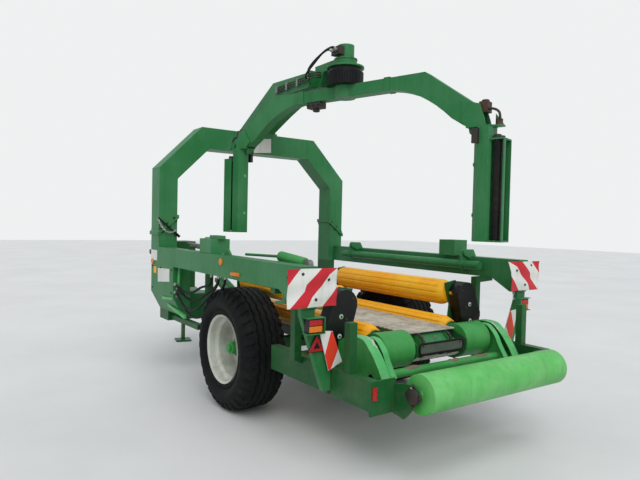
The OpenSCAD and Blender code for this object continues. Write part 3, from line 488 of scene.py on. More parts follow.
def make_wheel_parts(side, name):
    """Ten wheel nuts on their studs, the hub's cap bolts and the valve."""
    outward = (side, 0, 0)
    nuts = Piece("wheel_nuts_" + name, "cover_black", DARK_STEEL, body="wheel_" + name)
    for turn in angles(10, 0.3):
        nuts.bolt(wheel_point(side, -0.0605, 0.112, turn), outward, 0.0155, 0.021)
    nuts.done()
    cap = Piece("hub_bolts_" + name, "hub_green", STEEL, BRIGHT_GREEN, body="wheel_" + name)
    for turn in angles(6):
        cap.bolt(wheel_point(side, 0.04, 0.064, turn), outward, 0.006, 0.005)
    cap.material = 1
    cap.lathe(wheel_point(side, 0.094, 0, 0), outward, [(0, 0.036), (0.022, 0.036), (0.028, 0.028)], 6)
    cap.done()
    valve = Piece("valve_" + name, "rim", STEEL, body="wheel_" + name)
    valve.rod(wheel_point(side, 0.03, 0.25, 0), wheel_point(side, 0.10, 0.232, 0), 0.0045, 10)
    valve.done()


# Upper boards, bent and worn: outer edge, width, top and height, then back and thickness
BOARD_OUT, BOARD_WIDE, BOARD_TOP, BOARD_HIGH = 1.335, 0.390, 1.3615, 0.255
BOARD_BACK, BOARD_THICK = -1.476, 0.003
BOARD_ROWS, BAND_PARTS = 24, 3
BAND_LEFT = ((0, 0.66), (0.40, 0.36), (0.58, 0.33), (1, 0.05))
BAND_RIGHT = ((0, 1.0), (0.17, 0.82), (0.45, 0.68), (0.73, 0.47), (1, 0.38))
RED_BANDS = (0, 2, 4)


def between(points, at):
    """The value at a place between points of (place, value)."""
    for (a, low), (b, high) in zip(points, points[1:]):
        if at <= b:
            return low + (high - low) * (at - a) / (b - a)


def board_point(side, across, down, depth):
    """A point on an upper board: across from its outer edge, and down."""
    x = BOARD_OUT - BOARD_WIDE * across
    z = BOARD_TOP - BOARD_HIGH * down
    bend = 0.006 * sin(7 * across + 2.4 * down) + 0.004 * sin(11 * down + 4 * across)
    if side > 0:
        bend += 0.045 * max(0, across - 0.72) / 0.28 * max(0, 0.35 - down) / 0.35
    else:
        bend += 0.010 * max(0, down - 0.6)
    return Vector((side * x, BOARD_BACK - depth + bend, z))


def make_upper_board(side, name):
    """A bent board with a red band and two red corners, and its three bolts."""
    piece = Piece("marker_board_" + name, "sign", BOARD_WHITE, SIGN_RED)
    rows = []
    for v in (i / BOARD_ROWS for i in range(BOARD_ROWS + 1)):
        left, right = between(BAND_LEFT, v), between(BAND_RIGHT, v)
        outer = max(0, 0.26 * (1 - v / 0.42))
        inner = max(right, min(1, 1 - 0.28 * (v - 0.5) / 0.5))
        rows.append((v, [0, outer, left, right, inner, 1]))
    front, back = {}, {}

    def corner(store, across, down, depth):
        key = (round(across, 5), round(down, 5))
        if key not in store:
            store[key] = piece.mesh.verts.new(board_point(side, across, down, depth))
        return store[key]

    def place(cuts, band, part):
        return cuts[band] + (cuts[band + 1] - cuts[band]) * part / BAND_PARTS

    for (v0, low), (v1, high) in zip(rows, rows[1:]):
        for band in range(len(low) - 1):
            for k in range(BAND_PARTS):
                quad = ((place(low, band, k), v0), (place(low, band, k + 1), v0),
                        (place(high, band, k + 1), v1), (place(high, band, k), v1))
                for store, depth, material in ((front, BOARD_THICK, int(band in RED_BANDS)), (back, 0, 0)):
                    piece.material = material
                    corners = list(dict.fromkeys(corner(store, p, q, depth) for p, q in quad))
                    if len(corners) > 2:
                        piece.face(*corners)
    piece.material = 0
    bmesh.ops.bridge_loops(piece.mesh, edges=[e for e in piece.mesh.edges if e.is_boundary])
    piece.done(replaces=["marker_boards"] if side < 0 else (), smooth=40)
    fixings = Piece("board_bolts_" + name, "steel", DARK_STEEL)
    for across, down in ((0.30, 0.14), (0.82, 0.30), (0.55, 0.80)):
        fixings.bolt(board_point(side, across, down, BOARD_THICK), (0, -1, 0), 0.008, 0.005)
    fixings.done()


# Lower boards: corners as (x, z), and the orange band as parts of their width and height
LOWER_BOARD, LOWER_FACE = ((0.960, 0.932), (1.070, 0.944), (0.987, 0.664), (0.873, 0.716)), -1.458
LOWER_BAND = ((0.12, 0.005), (0.005, 0.02), (0.005, 0.58), (0.85, 0.995), (0.995, 0.995), (0.995, 0.60))


def make_lower_board(side, name):
    """A slanting strip, white with one bright diagonal."""
    a, b, c, d = (Vector((side * x, 0, z)) for x, z in LOWER_BOARD)
    piece = Piece("lower_board_" + name, "sign", BOARD_WHITE, SIGN_ORANGE)
    for outline, y, thick in ((((0, 0), (1, 0), (1, 1), (0, 1)), LOWER_FACE, 0.004),
                              (LOWER_BAND, LOWER_FACE - 0.0012, 0.0012)):
        corners = [a.lerp(b, p).lerp(d.lerp(c, p), q) + Vector((0, y, 0)) for p, q in outline]
        piece.prism(corners, (0, thick, 0))
        piece.material = 1
    piece.done()


def make_lamps(side, name):
    """Tail lamps, red over amber, in their hoods, with triangle and corner reflectors."""
    x, z, face, half, high_half = side * 1.120, 0.985, -1.487, 0.055, 0.045
    ribs, pitch, rib = 10, 0.0102, 0.0098
    piece = Piece("tail_lamp_" + name, "lamp", RED_LENS, AMBER, BLACK_PAINT)
    piece.material = 2
    piece.box((x - half, face, z - high_half), (x + half, face + 0.055, z + high_half))
    for low, high, material in ((0.002, 0.041, 0), (-0.041, -0.002, 1)):
        piece.material = material
        for i in range(ribs):
            left, swell = x - 0.051 + i * pitch, 0.002 * sin(pi * (i + 0.5) / ribs)
            piece.prism([(left, face, z + low), (left + rib, face, z + low), (left + rib, face, z + high),
                         (left, face, z + high)], (0, -0.004 - swell, 0))
    piece.done(replaces=["rear_lamps"] if side < 0 else ())
    signs = Piece("reflectors_" + name, "lamp", RED_LENS, BLACK_PAINT)
    tips = [Vector((side * q, -1.444, w)) for q, w in ((1.150, 0.800), (1.010, 0.800), (1.080, 0.921))]
    middle = sum(tips, Vector()) / 3
    for material, part, lift, thick in ((1, 1, 0, 0.008), (0, 0.90, 0.0005, -0.004),
                                        (1, 0.38, -0.003, -0.0022)):
        signs.material = material
        signs.prism([middle.lerp(p, part) + Vector((0, lift, 0)) for p in tips], (0, thick, 0))
    signs.material = 0
    signs.box((side * 0.9175 - 0.0175, -1.860, 0.560), (side * 0.9175 + 0.0175, -1.853, 0.640))
    signs.done()


# Bolts, plates and marks on the frame
SIDE_X, BEAM_LOW, BEAM_TOP = 1.205, 1.194, 1.372
FLANGE_IN, FLANGE_OUT = Vector((1.006, 0, 1.685)), Vector((SIDE_X, 0, 1.527))
COVER_FACE = -1.2205
ROLLER_END_X, ROLLER_Y, ROLLER_Z = 0.758, -2.030, 0.609


def make_bolts():
    """Bolts of the arch's flanges, the covers, the rear plates, the crown and the front cover."""
    piece = Piece("frame_bolts", "steel", DARK_STEEL)
    slope = (FLANGE_OUT - FLANGE_IN).normalized()
    for side in (-1, 1):
        up = Vector((side * -slope.z, 0, slope.x))
        for y in (1.313, 1.564):
            for part in (0.12, 0.5, 0.88):
                at = FLANGE_IN.lerp(FLANGE_OUT, part)
                base = Vector((side * at.x, y, at.z))
                piece.bolt(base + up * 0.016, up, 0.011, 0.010)
                piece.bolt(base - up * 0.016, -up, 0.011, 0.010)
        for x, z in ((0.60, 1.10), (0.66, 0.95), (0.52, 1.14)):
            piece.bolt((side * x, COVER_FACE - 0.001, z), (0, -1, 0), 0.009, 0.007)
        for y, z in ((0, 0.06), (0, -0.06), (-0.06, 0), (0.06, 0)):
            piece.bolt((side * ROLLER_END_X, ROLLER_Y + y, ROLLER_Z + z), (side, 0, 0), 0.010, 0.008)
        for y in (-1.42, -1.30):
            for z in (0.665, 0.51):
                piece.bolt((side * 0.950, y, z), (side, 0, 0), 0.011, 0.008)
    for x in (-0.19, -0.06, 0.06, 0.19):
        for y in (1.35, 1.535):
            piece.bolt((x, y, 2.704), UP, 0.014, 0.013)
    for y, z in ((0.93, 1.16), (0.93, 0.93), (1.25, 1.16), (1.50, 1.16), (1.50, 0.93)):
        piece.bolt((-SIDE_X, y, z), (-1, 0, 0), 0.008, 0.006)
    piece.done()


def make_plates():
    """Blank signs, reflectors and side lamps on the left side and the arch."""
    piece = Piece("blank_plates", "sign", DECAL, AMBER, YELLOW)
    thick = -0.002
    piece.prism([(-0.098, 1.321, 2.619), (0.128, 1.321, 2.643), (0.132, 1.321, 2.478),
                 (-0.095, 1.321, 2.457)], (0, -0.0025, 0))
    piece.plate(-SIDE_X, ((1.55, 1.335), (1.36, 1.335), (1.36, 1.225), (1.55, 1.225)), thick)
    piece.plate(-SIDE_X, ((1.33, 1.15), (0.99, 1.165), (0.985, 1.035), (1.325, 1.005)), thick)
    piece.material = 2
    piece.plate(-SIDE_X, ((1.46, 1.16), (1.38, 1.16), (1.38, 1.09), (1.46, 1.09)), thick)
    piece.material = 1
    seat = 0.001 - SIDE_X
    for y, z in ((-0.213, 1.318), (1.49, 1.21)):
        piece.lathe((seat, y, z), (-1, 0, 0), [(0, 0.030), (0.008, 0.030), (0.012, 0.022)], 24)
    foot = ((-0.55, 1.225), (-0.44, 1.225), (-0.44, 1.255), (-0.55, 1.255))
    top = ((-0.54, 1.230), (-0.45, 1.230), (-0.45, 1.250), (-0.54, 1.250))
    piece.rings([[(seat, y, z) for y, z in foot], [(seat - 0.032, y, z) for y, z in top]])
    piece.done()


def make_left_front():
    """Loops, lever, chain, cylinders and links below and beside the left beam."""
    piece = Piece("left_loops", "frame_green", LIGHT_GREEN, DEEP_GREEN)
    for y in (0.86, 1.10):
        piece.sweep(smooth_path([(-1.15, y, BEAM_LOW), (-1.16, y - 0.01, 1.05), (-1.15, y + 0.02, 0.98),
                                 (-1.15, y + 0.09, 0.965), (-1.15, y + 0.12, 1.03),
                                 (-1.15, y + 0.12, BEAM_LOW)], 22), 0.013)
    piece.plate(-SIDE_X, ((1.19, 0.865), (0.90, 0.885), (0.90, 0.86), (1.19, 0.838)), 0.05)
    piece.plate(-1.16, ((1.17, 0.80), (0.72, 0.735), (0.70, 0.700), (1.15, 0.765)), 0.03)
    piece.material = 1
    piece.box((-1.06, 0.600, 0.600), (-1.00, 1.310, 0.650))
    piece.rod((-0.97, 0.545, 0.83), (-0.97, 0.545, 1.19), 0.040, 24)
    piece.rod((-0.97, 0.545, 0.65), (-0.97, 0.600, 0.85), 0.018)
    piece.box((-1.09, 0.505, 1.18), (-0.92, 0.585, 1.20))
    piece.box((-1.01, 0.600, 0.600), (-0.93, 0.640, 0.660))
    piece.done()
    bar = Piece("beam_gear", "frame_green", BRIGHT_GREEN, STEEL, GREEN, DARK_STEEL)
    bar.rod((-1.00, -0.83, 1.40), (-1.00, -1.17, 1.37), 0.040, 24)
    bar.material = 1
    bar.lathe((-1.02, -1.21, 1.365), (1, 0, 0), [(0, 0.034), (0.04, 0.034)], 24)
    bar.rod((-1.00, -1.16, 1.37), (-1.00, -1.20, 1.366), 0.018)
    bar.rod((-1.02, 0.30, 1.385), (-1.02, 0.90, 1.40), 0.014, 14)
    bar.rod((-1.06, 0.30, 1.415), (-1.06, 0.86, 1.43), 0.012, 14)
    bar.material = 2
    bar.rod((-1.02, -0.30, 1.385), (-1.02, -0.84, 1.40), 0.011, 12)
    bar.box((-1.12, 0.03, BEAM_TOP), (-1.08, 0.15, 1.53))
    bar.box((-1.13, -0.01, 1.50), (-1.07, 0.19, 1.53))
    bar.lathe((-1.12, 0.29, 1.44), (1, 0, 0), [(0, 0.07), (0.03, 0.07)], 28)
    bar.plate(-1.12, ((-0.08, BEAM_TOP), (-0.21, BEAM_TOP), (-0.15, 1.425)), 0.02)
    bar.plate(-1.16, ((-1.13, BEAM_LOW), (-1.17, BEAM_LOW), (-1.17, 1.09), (-1.03, 1.075), (-1.03, 1.095),
                      (-1.13, 1.11)), 0.06)
    bar.material = 3
    bar.box((-1.19, 1.556, 1.28), (-1.13, 1.66, 1.33))
    bar.plate(-1.16, ((1.60, 1.28), (1.64, 1.28), (1.62, 1.19), (1.59, 1.20)), 0.02)
    bar.done()
    chain = Piece("leg_chain", "steel", CHAIN_STEEL, BLACK_PAINT)
    make_chain(chain, smooth_path([(-1.215, 1.300, 1.66), (-1.17, 1.292, 1.57), (-1.10, 1.292, 1.525),
                                   (-1.02, 1.302, 1.55)], 40), 0.0034, 0.026)
    chain.material = 1
    chain.rod((-1.22, 1.300, 1.68), (-1.02, 1.300, 1.51), 0.009, 12)
    chain.rod((-1.035, 1.300, 1.522), (-0.985, 1.300, 1.480), 0.014, 14)
    chain.done()


def make_chain(piece, path, wire, pitch):
    """Oval links along a line, each turned a quarter from the last."""
    points, step = 12, pitch * 0.72
    reach, marks = 0.0, []
    for a, b in zip(path, path[1:]):
        length = (b - a).length
        while len(marks) * step <= reach + length:
            marks.append((a.lerp(b, (len(marks) * step - reach) / length), (b - a).normalized()))
        reach += length
    for i, (at, way) in enumerate(marks):
        level = way.cross(UP)
        side = (level if i % 2 else way.cross(level)).normalized()
        loop = [at + way * (pitch * 0.5 * cos(t)) + side * (pitch * 0.32 * sin(t))
                for t in angles(points)]
        rings = []
        for k, p in enumerate(loop):
            ahead = (loop[(k + 1) % points] - loop[k - 1]).normalized()
            other = ahead.cross((p - at).normalized()).normalized()
            out = other.cross(ahead)
            rings.append([p + (out * cos(u) + other * sin(u)) * wire for u in angles(6)])
        piece.rings(rings, closed=True)


def make_right_gear():
    """The chain at the right beam's tail, the covers' discs and the tails' pivots."""
    chain = Piece("tail_chain", "steel", CHAIN_STEEL)
    make_chain(chain, smooth_path([(1.02, -1.445, 1.10), (1.005, -1.452, 1.06), (1.01, -1.452, 1.035),
                                   (1.03, -1.445, 1.03)], 30), 0.0032, 0.024)
    chain.done()
    piece = Piece("cover_discs", "frame_green", WORN_PAINT, BLACK_PAINT)
    for side in (-1, 1):
        for x, z in ((0.709, 0.975), (0.721, 0.830)):
            piece.material = 0
            piece.lathe((side * x, COVER_FACE, z), (0, -1, 0),
                        [(0, 0.019), (0.003, 0.019), (0.005, 0.015)], 24)
            piece.material = 1
            piece.lathe((side * x, COVER_FACE - 0.0045, z), (0, -1, 0), [(0, 0.008), (0.004, 0.008)], 6)
    piece.done()
    pivot_y, pivot_z = -1.30, 1.29
    pivots = Piece("tail_pivots", "frame_green", GREEN, DARK_STEEL)
    for side in (-1, 1):
        pivots.material = 0
        pivots.plate(side * 1.084, ((-0.90, 1.33), (-1.02, 1.33), (-1.02, BEAM_TOP), (-0.90, BEAM_TOP)),
                     side * -0.010)
        pivots.lathe((side * SIDE_X, pivot_y, pivot_z), (side, 0, 0),
                     [(0, 0.030), (0.010, 0.030), (0.014, 0.024)], 24)
        pivots.material = 1
        pivots.bolt((side * (SIDE_X + 0.014), pivot_y, pivot_z), (side, 0, 0), 0.013, 0.010)
    pivots.done()


# Slewing head and the wrapping arm's gear
ARM_TURN = radians(-73.4)
SLEW_Y, PORT_Z = -0.270, 3.255
SLEW = Vector((0, SLEW_Y, 0))
ARM_LOW, ARM_TOP, END_TOP = 2.830, 2.942, 2.450


def arm_point(s, t, z):
    """A point on the turned arm: along it, across it, and its height."""
    c, d = cos(ARM_TURN), sin(ARM_TURN)
    return SLEW + Vector((s * c - t * d, s * d + t * c, z))


def arm_way(s, t):
    """A direction along and across the turned arm."""
    return arm_point(s, t, 0) - arm_point(0, 0, 0)


def arm_box(piece, s, t, z, high):
    """A box on the arm, between two places along it and two across it."""
    corners = ((s[0], t[0]), (s[1], t[0]), (s[1], t[1]), (s[0], t[1]))
    piece.prism([arm_point(*corner, z) for corner in corners], (0, 0, high))


def arm_plate(piece, side, outline, t, thick):
    """An upright outline of (along, height) points on the arm, made solid across it."""
    piece.prism([arm_point(side * s, t, z) for s, z in outline], arm_way(0, thick))


def make_head():
    """Steel pipes beside the neck, the slewing motor's ports and bolts, and its two hoses."""
    pipes = Piece("head_pipes", "steel", DARK_STEEL, STEEL)
    for z in (0.0, 0.022, 0.044):
        pipes.sweep(smooth_path([(-0.11, -0.02, 3.06 + z), (-0.16, -0.02, 3.055 + z), (-0.20, 0.03, 3.04 + z),
                                 (-0.195, 0.10, 3.03 + z), (-0.19, 0.50, 3.03 + z),
                                 (-0.185, 0.70, 3.02 + z)], 26), 0.006)
    pipes.material = 1
    for y in (0.25, 0.45, 0.65):
        pipes.box((-0.200, y, 3.012), (-0.170, y + 0.03, 3.092))
    pipes.done()
    block = Piece("motor_ports", "cover_black", DARK_STEEL, STEEL)
    block.box((-0.125, -0.33, 3.215), (-0.065, -0.21, 3.290))
    block.lathe((0, SLEW_Y, 3.316), UP, [(0, 0.055), (0.0015, 0.055)], 32)
    for t in angles(6, 0.5):
        block.bolt((0.092 * cos(t), SLEW_Y + 0.092 * sin(t), 3.192), UP, 0.009, 0.010)
    block.material = 1
    for y in (-0.30, -0.27, -0.24):
        block.lathe((-0.124, y, PORT_Z), (-1, 0, 0), [(0, 0.013), (0.014, 0.013), (0.016, 0.010)], 6)
    block.done()
    hose("head_hose_a", [(-0.138, -0.30, PORT_Z), (-0.19, -0.31, 3.262), (-0.27, -0.29, 3.205),
                         (-0.315, -0.21, 3.115), (-0.31, -0.08, 3.05), (-0.25, 0.02, 3.04),
                         (-0.188, 0.066, 3.05)], 0.0095)
    hose("head_hose_b", [(-0.138, -0.24, PORT_Z), (-0.185, -0.235, 3.255), (-0.245, -0.21, 3.205),
                         (-0.275, -0.13, 3.145), (-0.255, -0.03, 3.11), (-0.215, 0.03, 3.10),
                         (-0.188, 0.066, 3.10)], 0.0095)


LATCH = ((1.302, 2.455), (1.262, 2.462), (1.248, 2.440), (1.256, 2.400), (1.272, 2.385), (1.274, 2.420),
         (1.302, 2.425))
HOOK = ((1.40, 2.580), (1.45, 2.575), (1.49, 2.545), (1.50, 2.485))


def make_arm_gear():
    """Swivel block, straps, film cutters, motors and hooks on the wrapping arm, the same at both ends."""
    piece = Piece("arm_gear", "cover_black", DARK_STEEL, GREEN, RUSTY, LIGHT_GREEN, body="wrapping_arm")
    arm_box(piece, (-0.42, -0.26), (-0.05, 0.05), ARM_LOW - 0.004, -0.055)
    piece.lathe(arm_point(-0.34, 0, ARM_LOW - 0.055), -UP, [(0, 0.034), (0.030, 0.034), (0.034, 0.026)], 20)
    for s in (-0.40, -0.34, -0.28):
        piece.bolt(arm_point(s, -0.05, ARM_LOW - 0.030), arm_way(0, -1), 0.010, 0.012)
    for side in (-1, 1):
        piece.material = 1
        arm_box(piece, (side * 0.46, side * 0.52), (-0.06, 0.06), ARM_TOP, 0.006)
        for t in (-0.056, 0.056):
            arm_plate(piece, side, ((0.46, 2.945), (0.52, 2.945), (0.52, 2.825), (0.46, 2.825)), t, t * 0.06)
        arm_box(piece, (side * 1.445, side * 1.556), (side * 0.0785, side * 0.0845), 1.545, 0.795)
        arm_box(piece, (side * 1.43, side * 1.52), (-0.040, 0.040), END_TOP - 0.012, 0.013)
        arm_plate(piece, side, ((1.44, END_TOP), (1.515, END_TOP), (1.44, 2.550)), side * 0.040, side * 0.008)
        arm_plate(piece, side, LATCH, -0.030, 0.060)
        piece.material = 2
        arm_box(piece, (side * 1.335, side * 1.405), (-0.045, 0.045), 2.555, 0.085)
        piece.lathe(arm_point(side * 1.37, 0, 2.638), UP, [(0, 0.030), (0.016, 0.030), (0.020, 0.022)], 24)
        piece.lathe(arm_point(side * 1.485, 0, END_TOP), UP, [(0, 0.028), (0.045, 0.028), (0.052, 0.016)], 24)
        piece.material = 0
        piece.sweep(smooth_path([arm_point(side * s, -0.02, z) for s, z in HOOK], 14), 0.010)
        arm_box(piece, (side * 1.305, side * 1.355), (side * -0.105, side * -0.074), 2.310, 0.115)
        for t in (-0.040, 0.040):
            piece.lathe(arm_point(side * 1.49, t, 2.342), UP,
                        [(0, 0.030), (0.026, 0.030), (0.030, 0.024)], 22)
        piece.material = 3
        for z in (1.75, 2.15):
            piece.lathe(arm_point(side * 1.30, -0.02, z), arm_way(-side, 0), [(0, 0.016), (0.006, 0.016)], 18)
    piece.done()


# Cradle rollers: name, x, height, radius, rear end and their shaft's rear end
CRADLE = (("upper_roller_", 0.588, 1.070, 0.111, -1.085, -1.131),
          ("lower_roller_", 0.420, 0.800, 0.095, -1.262, -1.288))
CRADLE_FRONT, SHAFT_FRONT, SHAFT_R = 0.500, 0.536, 0.025
RIBS, RIB_STEPS = 12, 10
# A roller's end: distance in from it, part of the full radius, and part of the ribs' depth
TAPER = ((0, 0.70, 0), (0.004, 0.76, 0), (0.058, 0.97, 0.5), (0.070, 1, 1))


def make_roller(name, x, z, radius, rear, shaft_rear):
    """A roller with rounded ribs and tapered ends, on its shaft."""
    piece = Piece("ribbed_" + name, "roller_yellow", YELLOW, body=name)
    ends = [(rear + far, part, cut) for far, part, cut in TAPER]
    ends += [(CRADLE_FRONT - far, part, cut) for far, part, cut in reversed(TAPER)]
    rings = []
    for y, part, cut in ends:
        ring = []
        for i, t in enumerate(angles(RIBS * RIB_STEPS, 0.5)):
            phase = (i + 0.5) % RIB_STEPS / RIB_STEPS
            groove = max(0, 1 - min(phase, 1 - phase) * 7)
            r = radius * part - cut * (0.009 * groove + 0.0025 * (2 * phase - 1) ** 2)
            ring.append((x + r * cos(t), y, z + r * sin(t)))
        rings.append(ring)
    piece.rings(rings)
    piece.rod((x, shaft_rear, z), (x, SHAFT_FRONT, z), SHAFT_R, 24)
    piece.done(replaces=[name], smooth=40)


# Conveyor: single slats on two chains, running round both shafts
BELT_RUN, BELT_R, BELT_REAR, BELT_Z = 2.310, 0.100, -1.430, 0.740
BEND = pi * BELT_R
BELT_ROUND = 2 * (BELT_RUN + BEND)
SLATS = 102
SLAT_OUTLINE = ((-0.020, 0.001), (0.020, 0.001), (0.020, 0.008), (0.015, 0.0118), (-0.015, 0.0118),
                (-0.020, 0.008))
LINK_OUTLINE = ((0, -0.008), (0.0225, -0.008), (0.0225, 0.0012), (0, 0.0012))
CHAIN_X, LINK_WIDE, LINK_NARROW = (-0.164, 0.136), 0.028, 0.020
END_HALF = 0.128


def belt_point(reach, height):
    """(y, z) at a distance round the conveyor and a height above its chains' line."""
    reach %= BELT_ROUND
    if reach < BELT_RUN:
        return BELT_REAR + reach, BELT_Z + BELT_R + height
    if reach < BELT_RUN + BEND:
        middle, t = BELT_REAR + BELT_RUN, pi / 2 - (reach - BELT_RUN) / BELT_R
    elif reach < 2 * BELT_RUN + BEND:
        return BELT_REAR + BELT_RUN - (reach - BELT_RUN - BEND), BELT_Z - BELT_R - height
    else:
        middle, t = BELT_REAR, -pi / 2 - (reach - 2 * BELT_RUN - BEND) / BELT_R
    return middle + (BELT_R + height) * cos(t), BELT_Z + (BELT_R + height) * sin(t)


def make_belt():
    """Worn slats, left out on the rear bend, the chains on their rails, and the plate behind them."""
    slats = Piece("belt_slats", "slats", SLAT)
    for i in range(SLATS):
        middle = BELT_ROUND * i / SLATS
        left, right = (0.258 - random.uniform(0, 0.007) for _ in range(2))
        lift = random.uniform(-0.0012, 0.0006)
        y, z = belt_point(middle, 0)
        if y >= -1.44 or z <= 0.68:
            slats.bar(-left, right, [belt_point(middle + q, h + lift) for q, h in SLAT_OUTLINE])
    slats.done(replaces=["conveyor_belt"], smooth=30)
    chains = Piece("belt_chains", "steel", DARK_STEEL)
    links = 2 * SLATS
    for x in CHAIN_X:
        for i in range(links):
            start = BELT_ROUND * (i + 0.12) / links
            wide = LINK_WIDE if i % 2 else LINK_NARROW
            low = x + (LINK_WIDE - wide) / 2
            chains.bar(low, low + wide, [belt_point(start + q, h) for q, h in LINK_OUTLINE])
        for high in (0.8385, 0.6465):
            chains.box((x + 0.006, BELT_REAR, high - 0.004), (x + 0.022, BELT_REAR + BELT_RUN, high))
    chains.done()
    inner = Piece("belt_end_plate", "frame_green", GREEN, STEEL)
    inner.prism([(-END_HALF, -1.425, 0.826), (END_HALF, -1.425, 0.826), (END_HALF, -1.492, 0.770),
                 (-END_HALF, -1.492, 0.770)], (0, 0.003, -0.004))
    inner.box((-END_HALF, -1.495, 0.700), (END_HALF, -1.490, 0.771))
    inner.material = 1
    inner.bolt((0.02, -1.462, 0.797), (0, -0.64, 0.77), 0.011, 0.010)
    inner.done()


# Guide strips behind the conveyor: millimetres behind its rear shaft and above its slats
CURVE_OUT = ((-130, -6), (-70, 12), (10, 16), (79, 6), (123, -26), (178, -77), (243, -158), (286, -228))
CURVE_IN = ((20, 8), (79, 2), (123, -29), (166, -77), (199, -140), (263, -235))
CURVE_POINTS, GUIDE_Z = 26, 0.852
# Inner and outer edge of each strip, and where each web stands
STRIPS = ((0.580, 0.630, CURVE_IN), (0.655, 0.735, CURVE_OUT))
WEBS = ((0.600, CURVE_OUT[:1] + CURVE_IN), (0.725, CURVE_OUT))
WEB_FRONT = [(-1.080, 0.560), (-1.080, 0.598), (-1.228, 0.598), (-1.228, 0.800)]
WEB_REAR = [(-1.700, 0.560)]
WORN_SPAN = range(7, 14)
CROSS_TUBE = Vector((0.735, -1.600, 0.613))


def make_guides():
    """Curved strips on upright webs beside the drums, and the tube between the webs."""
    piece = Piece("guide_strips", "roller_green", BRIGHT_GREEN, LIGHT_GREEN, WORN_PAINT)

    def line(curve, low):
        points = [(0, BELT_REAR - q / 1000, GUIDE_Z + h / 1000 - low) for q, h in curve]
        return [(p.y, p.z) for p in smooth_path(points, CURVE_POINTS)]

    for side in (-1, 1):
        piece.material = 1
        for inner, outer, curve in STRIPS:
            upper, lower = line(curve, 0), line(curve, 0.008)
            for k in range(CURVE_POINTS - 1):
                piece.bar(side * inner, side * outer, [upper[k], upper[k + 1], lower[k + 1], lower[k]])
        piece.material = 2
        upper = line(CURVE_OUT, -0.0006)
        for k in WORN_SPAN:
            inner = 0.655 + 0.006 * sin(k * 1.7)
            outer = 0.674 + 0.007 * sin(k * 2.3)
            (a, b), (c, d) = upper[k], upper[k + 1]
            piece.bar(side * inner, side * outer, [(a, b), (c, d), (c, d - 0.001), (a, b - 0.001)])
        piece.material = 0
        for x, curve in WEBS:
            piece.plate(side * x, WEB_FRONT + line(curve, 0.006) + WEB_REAR, side * 0.010)
    piece.rod(CROSS_TUBE * Vector((-1, 1, 1)), CROSS_TUBE, 0.032, 24)
    piece.done(replaces=["guide_webs"])


FLAP_HALF, FLAP_LOW, FLAP_HIGH, FLAP_Y, FLAP_CORNER, FLAP_TUBE = 0.234, 0.704, 0.782, -1.560, 0.026, 0.008


def make_flap():
    """A rounded rubber frame with a paler panel in it, behind the conveyor."""
    piece = Piece("flap_frame", "flap_rubber", RUBBER, FLAP_GREY, DARK_STEEL)
    x, low, high = FLAP_HALF - FLAP_CORNER, FLAP_LOW + FLAP_CORNER, FLAP_HIGH - FLAP_CORNER
    line = []
    for cx, cz, start in ((x, high, 0), (-x, high, 90), (-x, low, 180), (x, low, 270)):
        for i in range(6):
            t = radians(start + 18 * i)
            line.append((cx, cz, cos(t), sin(t)))
    rings = []
    for cx, cz, c, d in line:
        ring = []
        for u in angles(10):
            r = FLAP_CORNER + FLAP_TUBE * cos(u)
            ring.append((cx + r * c, FLAP_Y + FLAP_TUBE * sin(u), cz + r * d))
        rings.append(ring)
    piece.rings(rings, closed=True)
    piece.material = 1
    panel = [(cx + FLAP_CORNER * c, FLAP_Y - 0.002, cz + FLAP_CORNER * d) for cx, cz, c, d in line]
    piece.prism(panel, (0, 0.008, 0))
    piece.material = 2
    for x in (-0.20, 0.20):
        piece.bolt((x, FLAP_Y - 0.002, 0.765), (0, -1, 0), 0.006, 0.005)
    piece.done(replaces=["end_flap"])


# Dirt on the cross tube: first and last x, and height
HEAPS = ((0.30, 0.52, 0.643), (-0.50, -0.22, 0.643), (0.02, 0.16, 0.644))
HEAP_STEPS = 14


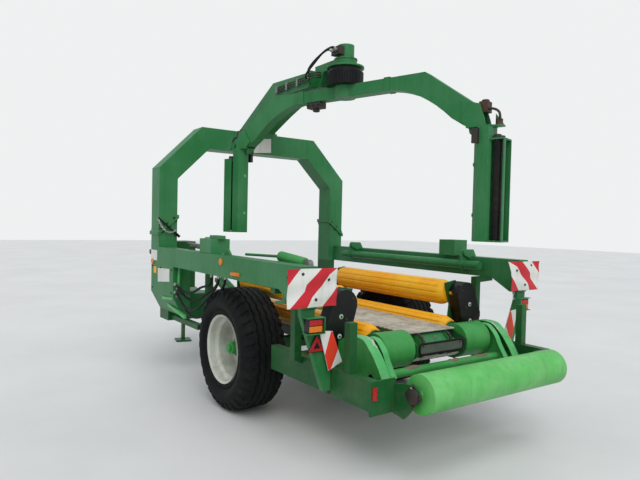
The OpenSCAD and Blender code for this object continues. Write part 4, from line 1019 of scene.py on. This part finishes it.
def make_rear_details():
    """The rear roller's bearing caps with their grease nipples, and dirt on the cross tube."""
    piece = Piece("roller_fittings", "steel", DARK_STEEL, CHAIN_STEEL)
    for side in (-1, 1):
        piece.material = 0
        piece.lathe((side * ROLLER_END_X, ROLLER_Y, ROLLER_Z), (side, 0, 0),
                    [(0, 0.052), (0.014, 0.050), (0.020, 0.036)], 28)
        piece.material = 1
        piece.lathe((side * (ROLLER_END_X + 0.012), ROLLER_Y, ROLLER_Z + 0.048), (side, 0, 0.6),
                    [(0, 0.006), (0.012, 0.006), (0.016, 0.003)], 10)
    piece.done()
    dirt = Piece("dirt_heaps", "flap_rubber", DIRT)
    for x0, x1, z in HEAPS:
        rings = []
        for part in (i / HEAP_STEPS for i in range(HEAP_STEPS + 1)):
            swell = sin(pi * min(0.985, max(0.015, part))) ** 0.6
            height = 0.004 + 0.018 * swell * (0.75 + 0.25 * sin(9 * part + x0 * 20))
            width = 0.006 + 0.020 * swell
            x = x0 + (x1 - x0) * part
            rings.append([(x, CROSS_TUBE.y + width * cos(t), z - 0.010 + height * max(-0.35, sin(t)))
                          for t in angles(12)])
        dirt.rings(rings)
    dirt.done()


# Left hoses: where each ends along the beam, and its sag
SIDE_HOSES = ((0.20, 0.16), (0.12, 0.22), (0.05, 0.30), (-0.02, 0.36))


def make_left_hoses():
    """Four hoses that sag from the front cover to ports below the left beam."""
    for i, (end, sag) in enumerate(SIDE_HOSES):
        odd = i % 2
        a = Vector((-1.185 + 0.020 * odd, 0.880, 1.02 - 0.04 * i))
        b = Vector((-1.10 + 0.03 * odd, end, 1.185))
        points = [a, a + Vector((0, -0.06, -0.012))]
        for part in (0.28, 0.5, 0.72):
            points.append(a.lerp(b, part) + Vector((0.012 * odd, 0, -sag * 4 * part * (1 - part) * 0.8)))
        points += [b + Vector((0, 0.035, -0.10)), b]
        hose(f"side_hose_{i}", points, 0.011)


make_camera()
make_studio()
finish_nodes()
for side, name in SIDES:
    make_tyre(side, name)
    make_wheel_parts(side, name)
    make_upper_board(side, name)
    make_lower_board(side, name)
    make_lamps(side, name)
make_bolts()
make_plates()
make_left_front()
make_left_hoses()
make_right_gear()
make_head()
make_arm_gear()
make_rear_details()
make_belt()
make_guides()
make_flap()
for side, name in SIDES:
    for kind, x, *sizes in CRADLE:
        make_roller(kind + name, side * x, *sizes)

bpy.context.scene.view_settings.view_transform = "Standard"
